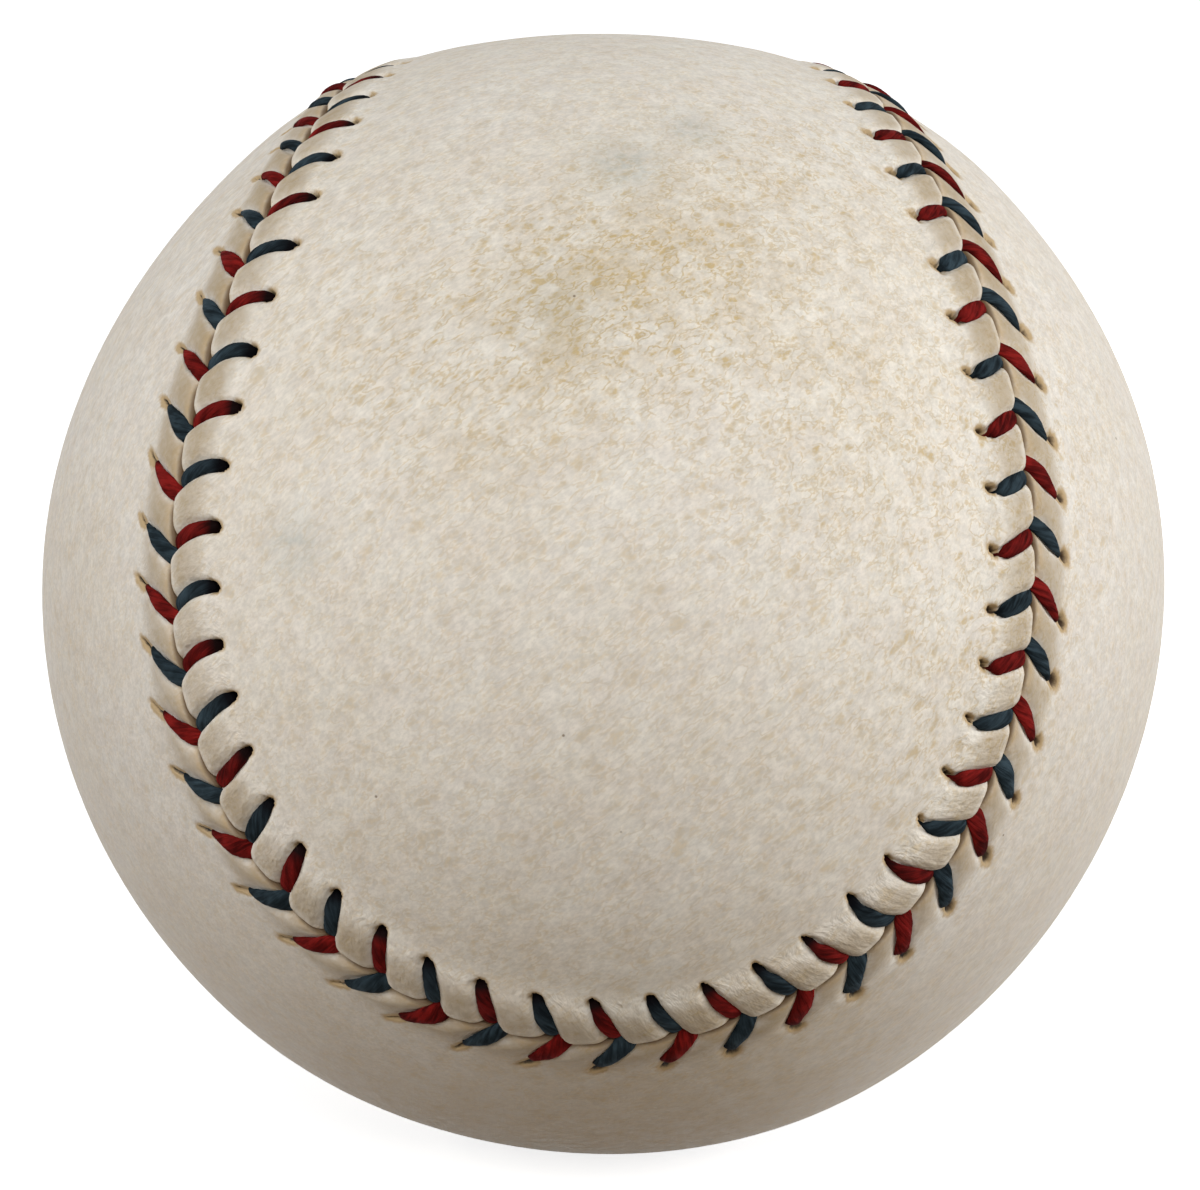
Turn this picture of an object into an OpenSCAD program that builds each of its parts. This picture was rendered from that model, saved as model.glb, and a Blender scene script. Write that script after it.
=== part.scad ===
// A baseball, in millimetres. Two leather panels are sewn over four windings
// of yarn and a cushioned cork centre, with one red and one blue thread.
// The origin is the centre of the ball and +Z is up. The seam is worked out
// with a waist of panel A on top, and then the whole ball is rolled about X.

/* [Ball] */
// Diameter over the leather
ball_d = 74.2; // [73:0.1:75]
// How far the ball is rolled about X, from the pose with a waist on top
ball_roll = -30; // [-90:1:90]

/* [Cover] */
// Thickness of the leather
leather_t = 1.25; // [1.2:0.05:1.4]
// Thickness left at the leather's edge, over the hidden runs of thread
rim_t = 0.65; // [0.6:0.05:0.7]
// Width of that thinner edge, from the seam
rim_w = 4.4; // [4.2:0.1:5]
// Width of the gap between the edges of the two panels
seam_gap = 0.9; // [0.9:0.05:1.1]

/* [Seam] */
// How far the lobes spread, against the seam's own round sweep of 1
lobe_spread = 0.51; // [0.49:0.01:0.53]
// How high the seam climbs to the waists, against the same sweep
waist_rise = 1.17; // [1.13:0.01:1.21]

/* [Stitches] */
// Number of V stitches round the ball, which is even, as the colours swap
stitch_count = 108; // [104:2:110]
// Distance of the stitch holes from the seam
hole_inset = 3.5; // [3.3:0.1:3.7]
// Diameter of a stitch hole
hole_d = 1.1; // [1.1:0.05:1.2]
// How far a hole lies behind its stitch's place along the seam
hole_lag = 0.6; // [0.5:0.1:0.7]
// How far ahead of that place a leg on panel A reaches the seam
lead_a = 0.95; // [0.9:0.05:1]
// How far ahead of that place a leg on panel B reaches the seam
lead_b = 1.85; // [1.8:0.05:1.9]

/* [Thread] */
// Width of a leg where it lies flat on the leather
leg_w = 1.3; // [1:0.05:1.4]
// Width of the thread in a hole, in the seam and under the leather
thread_w = 0.7; // [0.6:0.05:0.75]
// Thickness of the thread
thread_t = 0.5; // [0.4:0.05:0.5]

/* [Cushioned centre] */
// Diameter of the cork and rubber core
cork_d = 20.6; // [20:0.1:21]
// Thickness of the black rubber halves
black_t = 4; // [3.8:0.1:4.2]
// Thickness of the red washer between the halves
washer_t = 0.8; // [0.6:0.1:1.2]
// Thickness of the red rubber cover
red_t = 2.4; // [2.2:0.1:2.6]

/* [Windings] */
// Thickness of the grey four-ply wool, the thickest winding
wool_inner_t = 14.65; // [14.3:0.05:14.65]
// Thickness of the white three-ply wool
wool_middle_t = 1.75; // [1.5:0.05:1.75]
// Thickness of the grey three-ply wool
wool_outer_t = 2.25; // [2:0.05:2.25]

/* [Hidden] */

// Radii from the outside in, and from the core out to the last wool
cover_r = ball_d / 2;
rim_r = cover_r - rim_t;
cotton_r = cover_r - leather_t;
cork_r = cork_d / 2;
black_r = cork_r + black_t;
red_r = black_r + red_t;
wool_inner_r = red_r + wool_inner_t;
wool_middle_r = wool_inner_r + wool_middle_t;
wool_outer_r = wool_middle_r + wool_outer_t;

// How finely the seam and its panels are cut
seam_steps = 1440;
edge_steps = 108;
rung_steps = 8;
ball_fn = 128;
hole_fn = 24;
// A cone that bounds a panel reaches past the leather by this factor
cone_reach = 1.3;
// Half the turn over which the seam's heading is measured, in degrees
heading_step = 0.05;

// Direction from the centre to the seam, at turn t degrees round it
function seam_dir(t) = let (
        v = [
            cos(t) - lobe_spread * cos(3 * t),
            sin(t) + lobe_spread * sin(3 * t),
            waist_rise * cos(2 * t)
        ]
    ) v / norm(v);

// Heading of the seam at turn t, and the side that panel A lies on
function seam_way(t) = let (
        v = seam_dir(t + heading_step) - seam_dir(t - heading_step)
    ) v / norm(v);
function seam_side(t) = cross(seam_dir(t), seam_way(t));

// Length along the seam against turn, on a ball of radius 1
seam_table = [
    for (i = 0, s = 0; i <= seam_steps;
         s = s + norm(seam_dir((i + 1) * 360 / seam_steps) - seam_dir(i * 360 / seam_steps)),
         i = i + 1)
        [s, i * 360 / seam_steps]
];
seam_len = seam_table[seam_steps][0] * cover_r;
pitch = seam_len / stitch_count;

// Turn at a length along the seam, measured on the leather
function turn_at(len) = let (
        whole = len - seam_len * floor(len / seam_len)
    ) lookup(whole / cover_r, seam_table);

// Direction that lies d off the seam at turn t, towards panel A
function off_seam(t, d) = let (
        a = d / cover_r * 180 / PI
    ) seam_dir(t) * cos(a) + seam_side(t) * sin(a);

// Point at a length along the seam, d off it and r from the centre
function on_ball(len, d, r) = r * off_seam(turn_at(len), d);

module rolled() {
    rotate([ball_roll, 0, 0]) children();
}

module ball_shell(outer_r, inner_r) {
    difference() {
        sphere(outer_r, $fn = ball_fn);
        sphere(inner_r, $fn = ball_fn);
    }
}

// Cone from the centre through the edge of panel A, drawn in by inset. Its far
// side is a ladder of arcs, each from one side of the panel to the other.
module panel_cone(inset) {
    far_r = cover_r * cone_reach;
    rail = [for (i = [0:edge_steps]) off_seam(-90 + 180 * i / edge_steps, inset)];
    function rung(p, j) = let (
            spine = [0, p[1], p[2]] / norm([p[1], p[2]]),
            half = asin(p[0]),
            a = half * (2 * j / rung_steps - 1)
        ) far_r * (spine * cos(a) + [sin(a), 0, 0]);
    first = rail[0] * far_r;
    last = rail[edge_steps] * far_r;
    rungs = [for (i = [1:edge_steps - 1]) for (j = [0:rung_steps]) rung(rail[i], j)];
    points = concat([[0, 0, 0], first, last], rungs);
    function at(i, j) = 3 + (i - 1) * (rung_steps + 1) + j;
    tips = [
        for (j = [0:rung_steps - 1])
            each [
                [1, at(1, j), at(1, j + 1)],
                [2, at(edge_steps - 1, j + 1), at(edge_steps - 1, j)],
            ]
    ];
    far_side = [
        for (i = [1:edge_steps - 2])
            for (j = [0:rung_steps - 1])
                each [
                    [at(i, j), at(i + 1, j), at(i + 1, j + 1)],
                    [at(i, j), at(i + 1, j + 1), at(i, j + 1)],
                ]
    ];
    walls = [
        for (i = [1:edge_steps - 2])
            each [
                [0, at(i + 1, 0), at(i, 0)],
                [0, at(i, rung_steps), at(i + 1, rung_steps)],
            ]
    ];
    ends = [
        [0, at(1, 0), 1],
        [0, 1, at(1, rung_steps)],
        [0, 2, at(edge_steps - 1, 0)],
        [0, at(edge_steps - 1, rung_steps), 2],
    ];
    polyhedron(points, concat(tips, far_side, walls, ends));
}

// Panel A before it is punched: full leather, thinner along the seam
module panel_blank() {
    join_r = (cover_r + rim_r) / 2;
    intersection() {
        ball_shell(cover_r, rim_r);
        panel_cone(seam_gap / 2);
    }
    intersection() {
        ball_shell(join_r, cotton_r);
        panel_cone(rim_w);
    }
}

module stitch_hole(k, side) {
    p = on_ball(k * pitch - hole_lag, side * hole_inset, 1);
    rotate([0, acos(p[2]), atan2(p[1], p[0])])
        translate([0, 0, cotton_r - leather_t])
            cylinder(d = hole_d, h = 3 * leather_t, $fn = hole_fn);
}

// Panel B is the same blank, turned over on to the other half of the ball
module cover_panel(side) {
    color("ivory")
        rolled()
            difference() {
                rotate(side > 0 ? 0 : 180, [1, 1, 0]) panel_blank();
                for (k = [0:stitch_count - 1]) stitch_hole(k, side);
            }
}

module cover_panel_a() {
    cover_panel(1);
}

module cover_panel_b() {
    cover_panel(-1);
}

// Heights of the thread's middle: under the leather, in it and on it
under_r = cotton_r + (rim_r - cotton_r) / 2;
inside_r = (cover_r + rim_r) / 2;
top_r = cover_r + 0.28;
arch_r = cover_r + 0.32;

// One stitch of a thread on one side: up through its hole, over the leather to
// the seam, down between the panels and off under the other one. Each row is
// [ahead of the hole, off the seam, from the centre, width, slant of the width].
function stitch_run(side) = let (
        reach = hole_lag + (side > 0 ? lead_a : lead_b),
        slant = atan(reach / hole_inset)
    ) [
        [0, hole_inset, under_r, thread_w, 0],
        [0, hole_inset, inside_r, thread_w, 0],
        [reach * 0.1, hole_inset * 0.9, top_r, thread_w, slant],
        [reach * 0.55, hole_inset * 0.45, arch_r, leg_w, slant],
        [reach, 0.15, top_r, thread_w, slant / 2],
        [reach, 0, inside_r, thread_w, 0],
        [reach + 0.15, -0.45, under_r + 0.02, thread_w, 0],
    ];

// Section of the thread: five corners of an ellipse with its flat side down
sides = 5;
function corner(i) = let (a = 90 + 360 * i / sides) [cos(a), sin(a)];

// The middle of the thread along the whole seam, then the way its width lies
function thread_path(start) = [
    for (k = [0:stitch_count - 1])
        let (side = (k + start) % 2 == 0 ? 1 : -1)
            for (row = stitch_run(side))
                let (
                    len = k * pitch - hole_lag + row[0],
                    t = turn_at(len),
                    along = seam_way(t) * cos(row[4]) + side * seam_side(t) * sin(row[4])
                ) [on_ball(len, side * row[1], row[2]), along, row[3]]
];

module thread(start) {
    path = thread_path(start);
    n = len(path);
    function ring(i) = let (
            way = path[(i + 1) % n][0] - path[(i + n - 1) % n][0],
            ahead = way / norm(way),
            up_raw = cross(path[i][1], ahead),
            up = up_raw / norm(up_raw),
            wide = cross(ahead, up)
        ) [
            for (j = [0:sides - 1])
                path[i][0] + wide * corner(j)[0] * path[i][2] / 2 + up * corner(j)[1] * thread_t / 2
        ];
    points = [for (i = [0:n - 1]) each ring(i)];
    faces = [
        for (i = [0:n - 1])
            for (j = [0:sides - 1])
                let (
                    a = i * sides + j,
                    b = i * sides + (j + 1) % sides,
                    c = (i + 1) % n * sides + (j + 1) % sides,
                    d = (i + 1) % n * sides + j
                )
                    each [[a, b, c], [a, c, d]]
    ];
    polyhedron(points, faces);
}

module red_thread() {
    color("firebrick") rolled() thread(1);
}

module blue_thread() {
    color("slategray") rolled() thread(0);
}

module cork_core() {
    color("tan") rolled() sphere(cork_r, $fn = ball_fn);
}

// Half of the black rubber shell, short of the middle by half the washer
module black_rubber_half(side) {
    size = 2 * black_r + 2;
    color("dimgray")
        rolled()
            intersection() {
                ball_shell(black_r, cork_r);
                translate([0, 0, side * (size + washer_t) / 2]) cube(size, center = true);
            }
}

module black_rubber_half_a() {
    black_rubber_half(1);
}

module black_rubber_half_b() {
    black_rubber_half(-1);
}

module rubber_washer() {
    size = 2 * black_r + 2;
    color("red")
        rolled()
            intersection() {
                ball_shell(black_r, cork_r);
                cube([size, size, washer_t], center = true);
            }
}

module red_rubber_cover() {
    color("crimson") rolled() ball_shell(red_r, black_r);
}

module wool_winding_inner() {
    color("darkgray") rolled() ball_shell(wool_inner_r, red_r);
}

module wool_winding_middle() {
    color("whitesmoke") rolled() ball_shell(wool_middle_r, wool_inner_r);
}

module wool_winding_outer() {
    color("gray") rolled() ball_shell(wool_outer_r, wool_middle_r);
}

module cotton_winding() {
    color("linen") rolled() ball_shell(cotton_r, wool_outer_r);
}

cork_core();
black_rubber_half_a();
black_rubber_half_b();
rubber_washer();
red_rubber_cover();
wool_winding_inner();
wool_winding_middle();
wool_winding_outer();
cotton_winding();
cover_panel_a();
cover_panel_b();
red_thread();
blue_thread();
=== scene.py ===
"""A used baseball: two leather panels sewn with a red and a blue thread.

Shapes are worked out in millimetres along the seam, and put into Blender in
metres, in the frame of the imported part. The leather and the two threads stand
for their CAD nodes; the windings and the cushioned centre keep theirs.
"""

import logging
import math
from dataclasses import dataclass, field
from enum import Enum
from functools import cached_property
from typing import Any

import bpy
import numpy as np
from mathutils import Matrix, Vector


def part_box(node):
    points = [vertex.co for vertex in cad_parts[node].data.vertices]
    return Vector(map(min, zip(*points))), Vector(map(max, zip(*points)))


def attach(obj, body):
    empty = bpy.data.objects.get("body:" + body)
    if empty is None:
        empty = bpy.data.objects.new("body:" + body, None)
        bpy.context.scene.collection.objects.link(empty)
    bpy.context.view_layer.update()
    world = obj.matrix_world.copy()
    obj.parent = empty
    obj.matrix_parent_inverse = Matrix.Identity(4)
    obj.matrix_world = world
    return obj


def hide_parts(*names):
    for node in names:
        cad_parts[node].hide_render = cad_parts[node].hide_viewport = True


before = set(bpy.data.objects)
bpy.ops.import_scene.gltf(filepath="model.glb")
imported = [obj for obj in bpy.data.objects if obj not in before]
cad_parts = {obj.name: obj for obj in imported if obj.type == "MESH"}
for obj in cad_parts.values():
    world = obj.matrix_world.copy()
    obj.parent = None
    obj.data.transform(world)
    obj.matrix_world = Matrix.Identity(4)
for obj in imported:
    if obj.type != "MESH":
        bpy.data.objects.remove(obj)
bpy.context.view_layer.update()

MM = 0.001
TAU = 2 * math.pi
WHITE = (1.0, 1.0, 1.0)
# Distance from a hole, in halves of it, at which nothing of it is left.
FAR = 9.0

log = logging.getLogger("baseball")

Array = np.ndarray
Socket = bpy.types.NodeSocket
Colour = tuple[float, float, float]


def smoothstep(low: float | Array, high: float | Array, value: float | Array) -> Array:
    """Goes from 0 at low to 1 at high along 3x^2 - 2x^3.

    Args:
        low: Value where the rise starts.
        high: Value where it ends.
        value: The values to map.

    Returns:
        The mapped values.
    """
    x = np.clip((value - low) / (high - low), 0.0, 1.0)
    return x * x * (3 - 2 * x)


def fade(low: float | Array, high: float | Array, value: float | Array) -> Array:
    """Goes from 1 at low to 0 at high: 1 less the smooth step."""
    return 1 - smoothstep(low, high, value)


def bell(value: Array, width: float | Array) -> Array:
    """A bell curve, exp(-(value / width)^2)."""
    return np.exp(-((value / width) ** 2))


def unit(vectors: Array) -> Array:
    """The vectors at length 1, along the last axis."""
    return vectors / np.linalg.norm(vectors, axis=-1, keepdims=True)


class Side(Enum):
    """Which panel a thing lies on; the value is the sign of its offset."""

    A = 1
    B = -1

    @property
    def other(self) -> "Side":
        """The panel across the seam."""
        return Side.B if self is Side.A else Side.A


@dataclass(frozen=True)
class Stray:
    """A stretch where the hand-sewn seam strays from its drawn line."""

    stitch: float
    reach: float
    aside: float
    ahead: float


@dataclass(frozen=True)
class Swell:
    """A flat or a bulge of the cover, round one direction from the ball's centre."""

    middle: tuple[float, float, float]
    reach: float
    rise: float

    def height(self, way: Array) -> Array:
        """Its rise times a bell of the distance of unit directions from its middle."""
        away = np.linalg.norm(way - unit(np.array(self.middle)), axis=-1)
        return self.rise * bell(away, self.reach)


@dataclass(frozen=True)
class Seam:
    """The line where the panels meet, on a ball of one radius."""

    ball_radius: float
    lobe_spread: float = 0.51
    waist_rise: float = 1.17
    roll: float = math.radians(-30)
    stitch_count: int = 108
    table_steps: int = 14400
    lump_seed: int = 41
    lump_count: int = 9
    lump_pace: tuple[float, float] = (7, 15)
    lump_height: float = 0.07
    strays: tuple[Stray, ...] = (
        Stray(27, 10, 2.90, 0.0),
        Stray(57, 5, -1.30, 0.0),
        Stray(66, 9, 0.22, -0.31),
        Stray(81, 8, -0.56, 0.23),
        Stray(95, 9, 0.76, 0.07),
    )
    swells: tuple[Swell, ...] = (
        Swell((0.0, -0.05, 1.0), 0.42, -0.26),
        Swell((0.0, 0.19, 0.98), 0.20, -0.24),
        Swell((0.60, 0.15, 0.78), 0.16, 0.28),
        Swell((0.29, 0.18, 0.94), 0.10, 0.20),
        Swell((-0.33, 0.18, 0.93), 0.10, 0.24),
        Swell((-0.56, 0.15, 0.81), 0.15, 0.34),
        Swell((-0.84, 0.04, 0.54), 0.36, -0.38),
        Swell((0.93, -0.05, -0.36), 0.45, -0.28),
        Swell((0.31, -0.20, -0.94), 0.34, 0.26),
        Swell((-0.50, -0.17, -0.86), 0.34, 0.20),
        Swell((0.0, 0.20, -0.98), 0.30, -0.30),
    )

    @property
    def pitch(self) -> float:
        """Distance between stitches along the seam."""
        return self.length / self.stitch_count

    def raw(self, turn: Array) -> Array:
        """Point of the seam before it is drawn to the ball.

        It is (cos t - b cos 3t, sin t + b sin 3t, e cos 2t), where b spreads
        the lobes and e lifts the waists.

        Args:
            turn: Angle round the seam, in radians.

        Returns:
            One point for each angle.
        """
        spread = self.lobe_spread
        x = np.cos(turn) - spread * np.cos(3 * turn)
        y = np.sin(turn) + spread * np.sin(3 * turn)
        return np.stack([x, y, self.waist_rise * np.cos(2 * turn)], axis=-1)

    def raw_slope(self, turn: Array) -> Array:
        """How the raw point moves with the angle.

        Args:
            turn: Angle round the seam, in radians.

        Returns:
            The slope of each point.
        """
        spread = 3 * self.lobe_spread
        x = -np.sin(turn) + spread * np.sin(3 * turn)
        y = np.cos(turn) + spread * np.cos(3 * turn)
        return np.stack([x, y, -2 * self.waist_rise * np.sin(2 * turn)], axis=-1)

    @cached_property
    def table(self) -> tuple[Array, Array]:
        """Angle and length along the seam, in small equal steps of angle.

        Returns:
            The angles, and the lengths in millimetres.
        """
        turn = np.linspace(0, TAU, self.table_steps + 1)
        steps = np.linalg.norm(np.diff(unit(self.raw(turn)), axis=0), axis=1)
        return turn, np.concatenate([[0], np.cumsum(steps)]) * self.ball_radius

    @property
    def length(self) -> float:
        """Length once round the seam."""
        return float(self.table[1][-1])

    def axes(self, along: Array) -> tuple[Array, Array, Array]:
        """Directions at a length along the seam, in the frame of the part.

        Args:
            along: Length along the seam.

        Returns:
            The way out of the ball, the way along the seam, and the way
            across it towards panel A.
        """
        turn = np.interp(np.mod(along, self.length), self.table[1], self.table[0])
        out = unit(self.raw(turn))
        slope = self.raw_slope(turn)
        ahead = unit(slope - (slope * out).sum(-1, keepdims=True) * out)
        cos, sin = math.cos(self.roll), math.sin(self.roll)
        rolled = np.array([[1, 0, 0], [0, cos, sin], [0, -sin, cos]])
        return out @ rolled, ahead @ rolled, np.cross(out, ahead) @ rolled

    def strayed(self, along: Array) -> tuple[Array, Array]:
        """How far the sewing strays there, as sums of bell curves.

        Args:
            along: Length along the seam.

        Returns:
            Millimetres ahead, and millimetres towards panel A.
        """
        ahead, aside = 0.0 * along, 0.0 * along
        half = self.stitch_count / 2
        for stray in self.strays:
            away = np.mod(along / self.pitch - stray.stitch + half, 2 * half) - half
            share = bell(away, stray.reach)
            ahead, aside = ahead + stray.ahead * share, aside + stray.aside * share
        return ahead, aside

    def place(self, along: Array, off: Array, height: Array) -> Array:
        """Point off the seam and above the leather's plain radius.

        Args:
            along: Length along the seam.
            off: Distance from the seam, towards panel A if positive.
            height: Height over the plain radius.

        Returns:
            The points.
        """
        ahead, aside = self.strayed(along)
        out, _, across = self.axes(along + ahead)
        angle = ((off + aside) / self.ball_radius)[..., None]
        way = out * np.cos(angle) + across * np.sin(angle)
        return way * (self.ball_radius + height + self.lumps(way))[..., None]

    def lumps(self, way: Array) -> Array:
        """Low swells of the cover over the windings.

        Args:
            way: Unit directions from the ball's centre.

        Returns:
            Heights: a mean of slow sines, plus the ball's few swells.
        """
        draw = np.random.default_rng(self.lump_seed)
        waves = draw.normal(size=(self.lump_count, 3))
        waves = unit(waves) * draw.uniform(*self.lump_pace, (self.lump_count, 1))
        phase = draw.uniform(0, TAU, self.lump_count)
        height = self.lump_height * np.sin(way @ waves.T + phase).mean(-1)
        return height + sum(swell.height(way) for swell in self.swells)


@dataclass(frozen=True)
class Ovals:
    """Ovals on one panel, one for each stitch, such as its holes.

    Ahead is measured from the stitch's place along the seam, and lean is the
    angle of the long axis from the way off the seam towards the way ahead.
    """

    ahead: Array
    off: Array
    half_wide: Array
    half_long: Array
    lean: Array

    def away(self, k: Array, ahead: Array, off: Array) -> Array:
        """Distance from an oval's middle, where 1 is its edge.

        Args:
            k: Numbers of the stitches.
            ahead: Distances ahead of the stitches' places.
            off: Distances from the seam.

        Returns:
            The length of the place in the oval's own axes, each over its half size.
        """
        x, y = ahead - self.ahead[k], off - self.off[k]
        cos, sin = np.cos(self.lean[k]), np.sin(self.lean[k])
        return np.hypot((x * cos - y * sin) / self.half_wide[k],
                        (x * sin + y * cos) / self.half_long[k])


@dataclass(frozen=True)
class Spread:
    """A measure that changes round the ball: a plain value, plus shares of places.

    The places are those that Stitches measures: the right of the ball, its
    foot, the steep legs low on the right, the full ones high on the right, the
    torn and the rounded holes, the top, and the top left.
    """

    plain: float = 0.0
    right: float = 0.0
    low: float = 0.0
    steep: float = 0.0
    full: float = 0.0
    torn: float = 0.0
    rounded: float = 0.0
    top: float = 0.0
    top_left: float = 0.0

    def over(self, plan: "Stitches") -> Array:
        """Works the measure out, as the sum of each share times its place.

        Args:
            plan: The stitches on a panel.

        Returns:
            The measure at each stitch.
        """
        return (self.plain + self.right * plan.rightness + self.low * plan.lowness
                + self.steep * plan.steepness + self.full * plan.fullness
                + self.torn * plan.tornness + self.rounded * plan.roundness
                + self.top * plan.topness
                + self.top_left * plan.topness * (1 - plan.rightness))


@dataclass(frozen=True)
class Run:
    """A few stitches in a row whose legs are longer or shorter."""

    stitch: float
    reach: float
    longer: float


@dataclass(frozen=True)
class Sewing:
    """How the legs run on one panel and what their holes are like, in millimetres.

    A leg's line goes from lead at the seam through middle to end at its hole,
    all measured ahead of the stitch. The hole's turn is in radians from there.
    """

    reach: Spread
    lead: Spread
    middle: Spread
    end: Spread
    stout_by: float
    hole_ahead: Spread
    hole_off: Spread
    hole_wide: Spread
    hole_long: Spread
    hole_turn: Spread
    hole_slip: float
    torn_ahead: float
    torn_off: float
    torn_wide: Spread
    torn_long: float
    runs: tuple[Run, ...] = ()


SEWING = {
    Side.A: Sewing(
        reach=Spread(3.18, right=-0.42, top_left=-0.20),
        lead=Spread(1.11, right=-0.15),
        middle=Spread(0.30, low=0.08),
        end=Spread(0.10, low=-0.48, right=-0.46),
        stout_by=0.06,
        hole_ahead=Spread(torn=0.24),
        hole_off=Spread(0.08, torn=0.38),
        hole_wide=Spread(0.36, right=-0.16, steep=-0.10),
        hole_long=Spread(0.50, right=0.04),
        hole_turn=Spread(right=0.95),
        hole_slip=0.05,
        torn_ahead=0.0,
        torn_off=0.08,
        torn_wide=Spread(0.12, right=0.08),
        torn_long=0.16,
        runs=(Run(87.0, 2.6, 0.55), Run(79.0, 4.5, -0.25)),
    ),
    Side.B: Sewing(
        reach=Spread(3.15, right=-0.20),
        lead=Spread(2.10),
        middle=Spread(0.85, full=0.15, steep=0.25),
        end=Spread(-0.30, full=-0.25, steep=0.60),
        stout_by=0.24,
        hole_ahead=Spread(-0.26, rounded=0.34),
        hole_off=Spread(0.50, rounded=0.10),
        hole_wide=Spread(0.10, rounded=0.28),
        hole_long=Spread(0.58, rounded=-0.14),
        hole_turn=Spread(-0.10),
        hole_slip=0.035,
        torn_ahead=0.02,
        torn_off=0.05,
        torn_wide=Spread(0.28),
        torn_long=0.28,
    ),
}


@dataclass(frozen=True)
class Stitches:
    """Where each leg of the V stitches lies on one panel, with its own slips."""

    seam: Seam
    side: Side
    seed: int = 73
    reach_slip: float = 0.12
    lead_slip: float = 0.104
    middle_slip: float = 0.08
    end_slip: float = 0.12
    long_slip: float = 0.10
    turn_slip: float = 0.25
    follow: float = 4.2
    steep_at: float = 84.5
    steep_reach: float = 4.5

    @property
    def count(self) -> int:
        """Number of stitches."""
        return self.seam.stitch_count

    @property
    def pitch(self) -> float:
        """Distance between stitches along the seam."""
        return self.seam.pitch

    @property
    def sewing(self) -> Sewing:
        """The manner in which this panel is sewn."""
        return SEWING[self.side]

    @cached_property
    def draws(self) -> dict[str, Array]:
        """The slips of each stitch, from one seeded run of draws.

        Returns:
            A value from -1 to 1 for each stitch, by the name of the slip.
        """
        draw = np.random.default_rng(self.seed + self.side.value)
        names = ("lead", "middle", "end", "reach", "width", "tone", "open", "long", "grime",
                 "lift", "lean", "thick")
        return {name: draw.uniform(-1, 1, self.count) for name in names}

    @cached_property
    def out(self) -> Array:
        """The way out of the ball at each stitch."""
        return self.seam.axes(np.arange(self.count) * self.pitch)[0]

    @cached_property
    def rightness(self) -> Array:
        """0 to 1 from the left of the ball to its right, at each stitch."""
        return smoothstep(0.30, 0.62, self.out[:, 0] + 0.25 * self.out[:, 2])

    @cached_property
    def lowness(self) -> Array:
        """1 at the foot of the ball, where the legs run straight to their holes."""
        return smoothstep(0.22, 0.48, -self.out[:, 2] - 0.35 * self.out[:, 0])

    @cached_property
    def topness(self) -> Array:
        """1 near the top of the ball, where the legs are short and thin."""
        return smoothstep(0.66, 0.82, self.out[:, 2])

    @cached_property
    def steepness(self) -> Array:
        """1 low on the right, where the outer legs run steeply to round holes."""
        return bell(np.arange(self.count) - self.steep_at, self.steep_reach)

    @cached_property
    def stoutness(self) -> Array:
        """1 at the foot of the ball, where the legs are broad."""
        return np.maximum(self.lowness, self.steepness)

    @cached_property
    def fullness(self) -> Array:
        """1 high on the right, where the outer legs are fat and stand proud."""
        return smoothstep(0.46, 0.62, self.out[:, 2]) * smoothstep(0.0, 0.4, self.out[:, 0])

    @cached_property
    def tornness(self) -> Array:
        """1 where the inner holes gape past the legs: on the right, and less near the top."""
        return self.rightness * (1 - 0.6 * smoothstep(0.35, 0.60, self.out[:, 2]))

    @cached_property
    def roundness(self) -> Array:
        """How round the outer holes are: 1 low on the right, 0.75 over the rest of it."""
        return np.maximum(self.steepness, 0.75 * self.rightness)

    @cached_property
    def reach(self) -> Array:
        """Distance from the seam at which each thread goes into its hole.

        Returns:
            The distance for each stitch.
        """
        base = self.sewing.reach.over(self)
        for run in self.sewing.runs:
            base = base + run.longer * bell(np.arange(self.count) - run.stitch, run.reach)
        return base + self.reach_slip * self.draws["reach"]

    @cached_property
    def line(self) -> tuple[Array, Array, Array]:
        """The parabola of each leg's line, through its lead, middle and end.

        Returns:
            The place ahead at the seam, the slope there and the bend.
        """
        lead = self.sewing.lead.over(self) + self.lead_slip * self.draws["lead"]
        middle = self.sewing.middle.over(self) + self.middle_slip * self.draws["middle"]
        end = self.sewing.end.over(self) + self.end_slip * self.draws["end"]
        half = self.reach / 2
        bend = (end - 2 * middle + lead) / (2 * half ** 2)
        slope = (middle - lead) / half - bend * half
        return lead, slope, bend

    def leg(self, stitch: Array, off: Array) -> Array:
        """Length along the seam of a leg's line, at a distance from the seam.

        The line is a parabola from the leg's tip on the seam through its
        middle to its hole, and then runs square to the seam.

        Args:
            stitch: Numbers of the stitches.
            off: Distances from the seam.

        Returns:
            Lengths along the seam.
        """
        k = np.mod(stitch, self.count)
        lead, slope, bend = self.line
        reach = np.minimum(off, self.follow)
        return stitch * self.pitch + lead[k] + slope[k] * reach + bend[k] * reach ** 2

    def heading(self, stitch: Array, off: Array) -> Array:
        """Slope of a leg's line, at a distance from the seam.

        Args:
            stitch: Numbers of the stitches.
            off: Distances from the seam.

        Returns:
            Millimetres ahead for each millimetre off the seam.
        """
        k = np.mod(stitch, self.count)
        _, slope, bend = self.line
        return slope[k] + 2 * bend[k] * np.minimum(off, self.follow)

    @cached_property
    def holes(self) -> Ovals:
        """The mouth of each hole, darkened with painted shade, set by Sewing from the end of its
        leg.

        Returns:
            The holes, one for each stitch.
        """
        k, sewing = np.arange(self.count), self.sewing
        lean = np.arctan(self.heading(k, self.reach)) + self.turn_slip * self.draws["lean"]
        return Ovals(
            self.leg(k, self.reach) - k * self.pitch + sewing.hole_ahead.over(self),
            self.reach + sewing.hole_off.over(self),
            sewing.hole_wide.over(self) + sewing.hole_slip * self.draws["open"],
            sewing.hole_long.over(self) + self.long_slip * self.draws["long"],
            lean + sewing.hole_turn.over(self))

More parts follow.
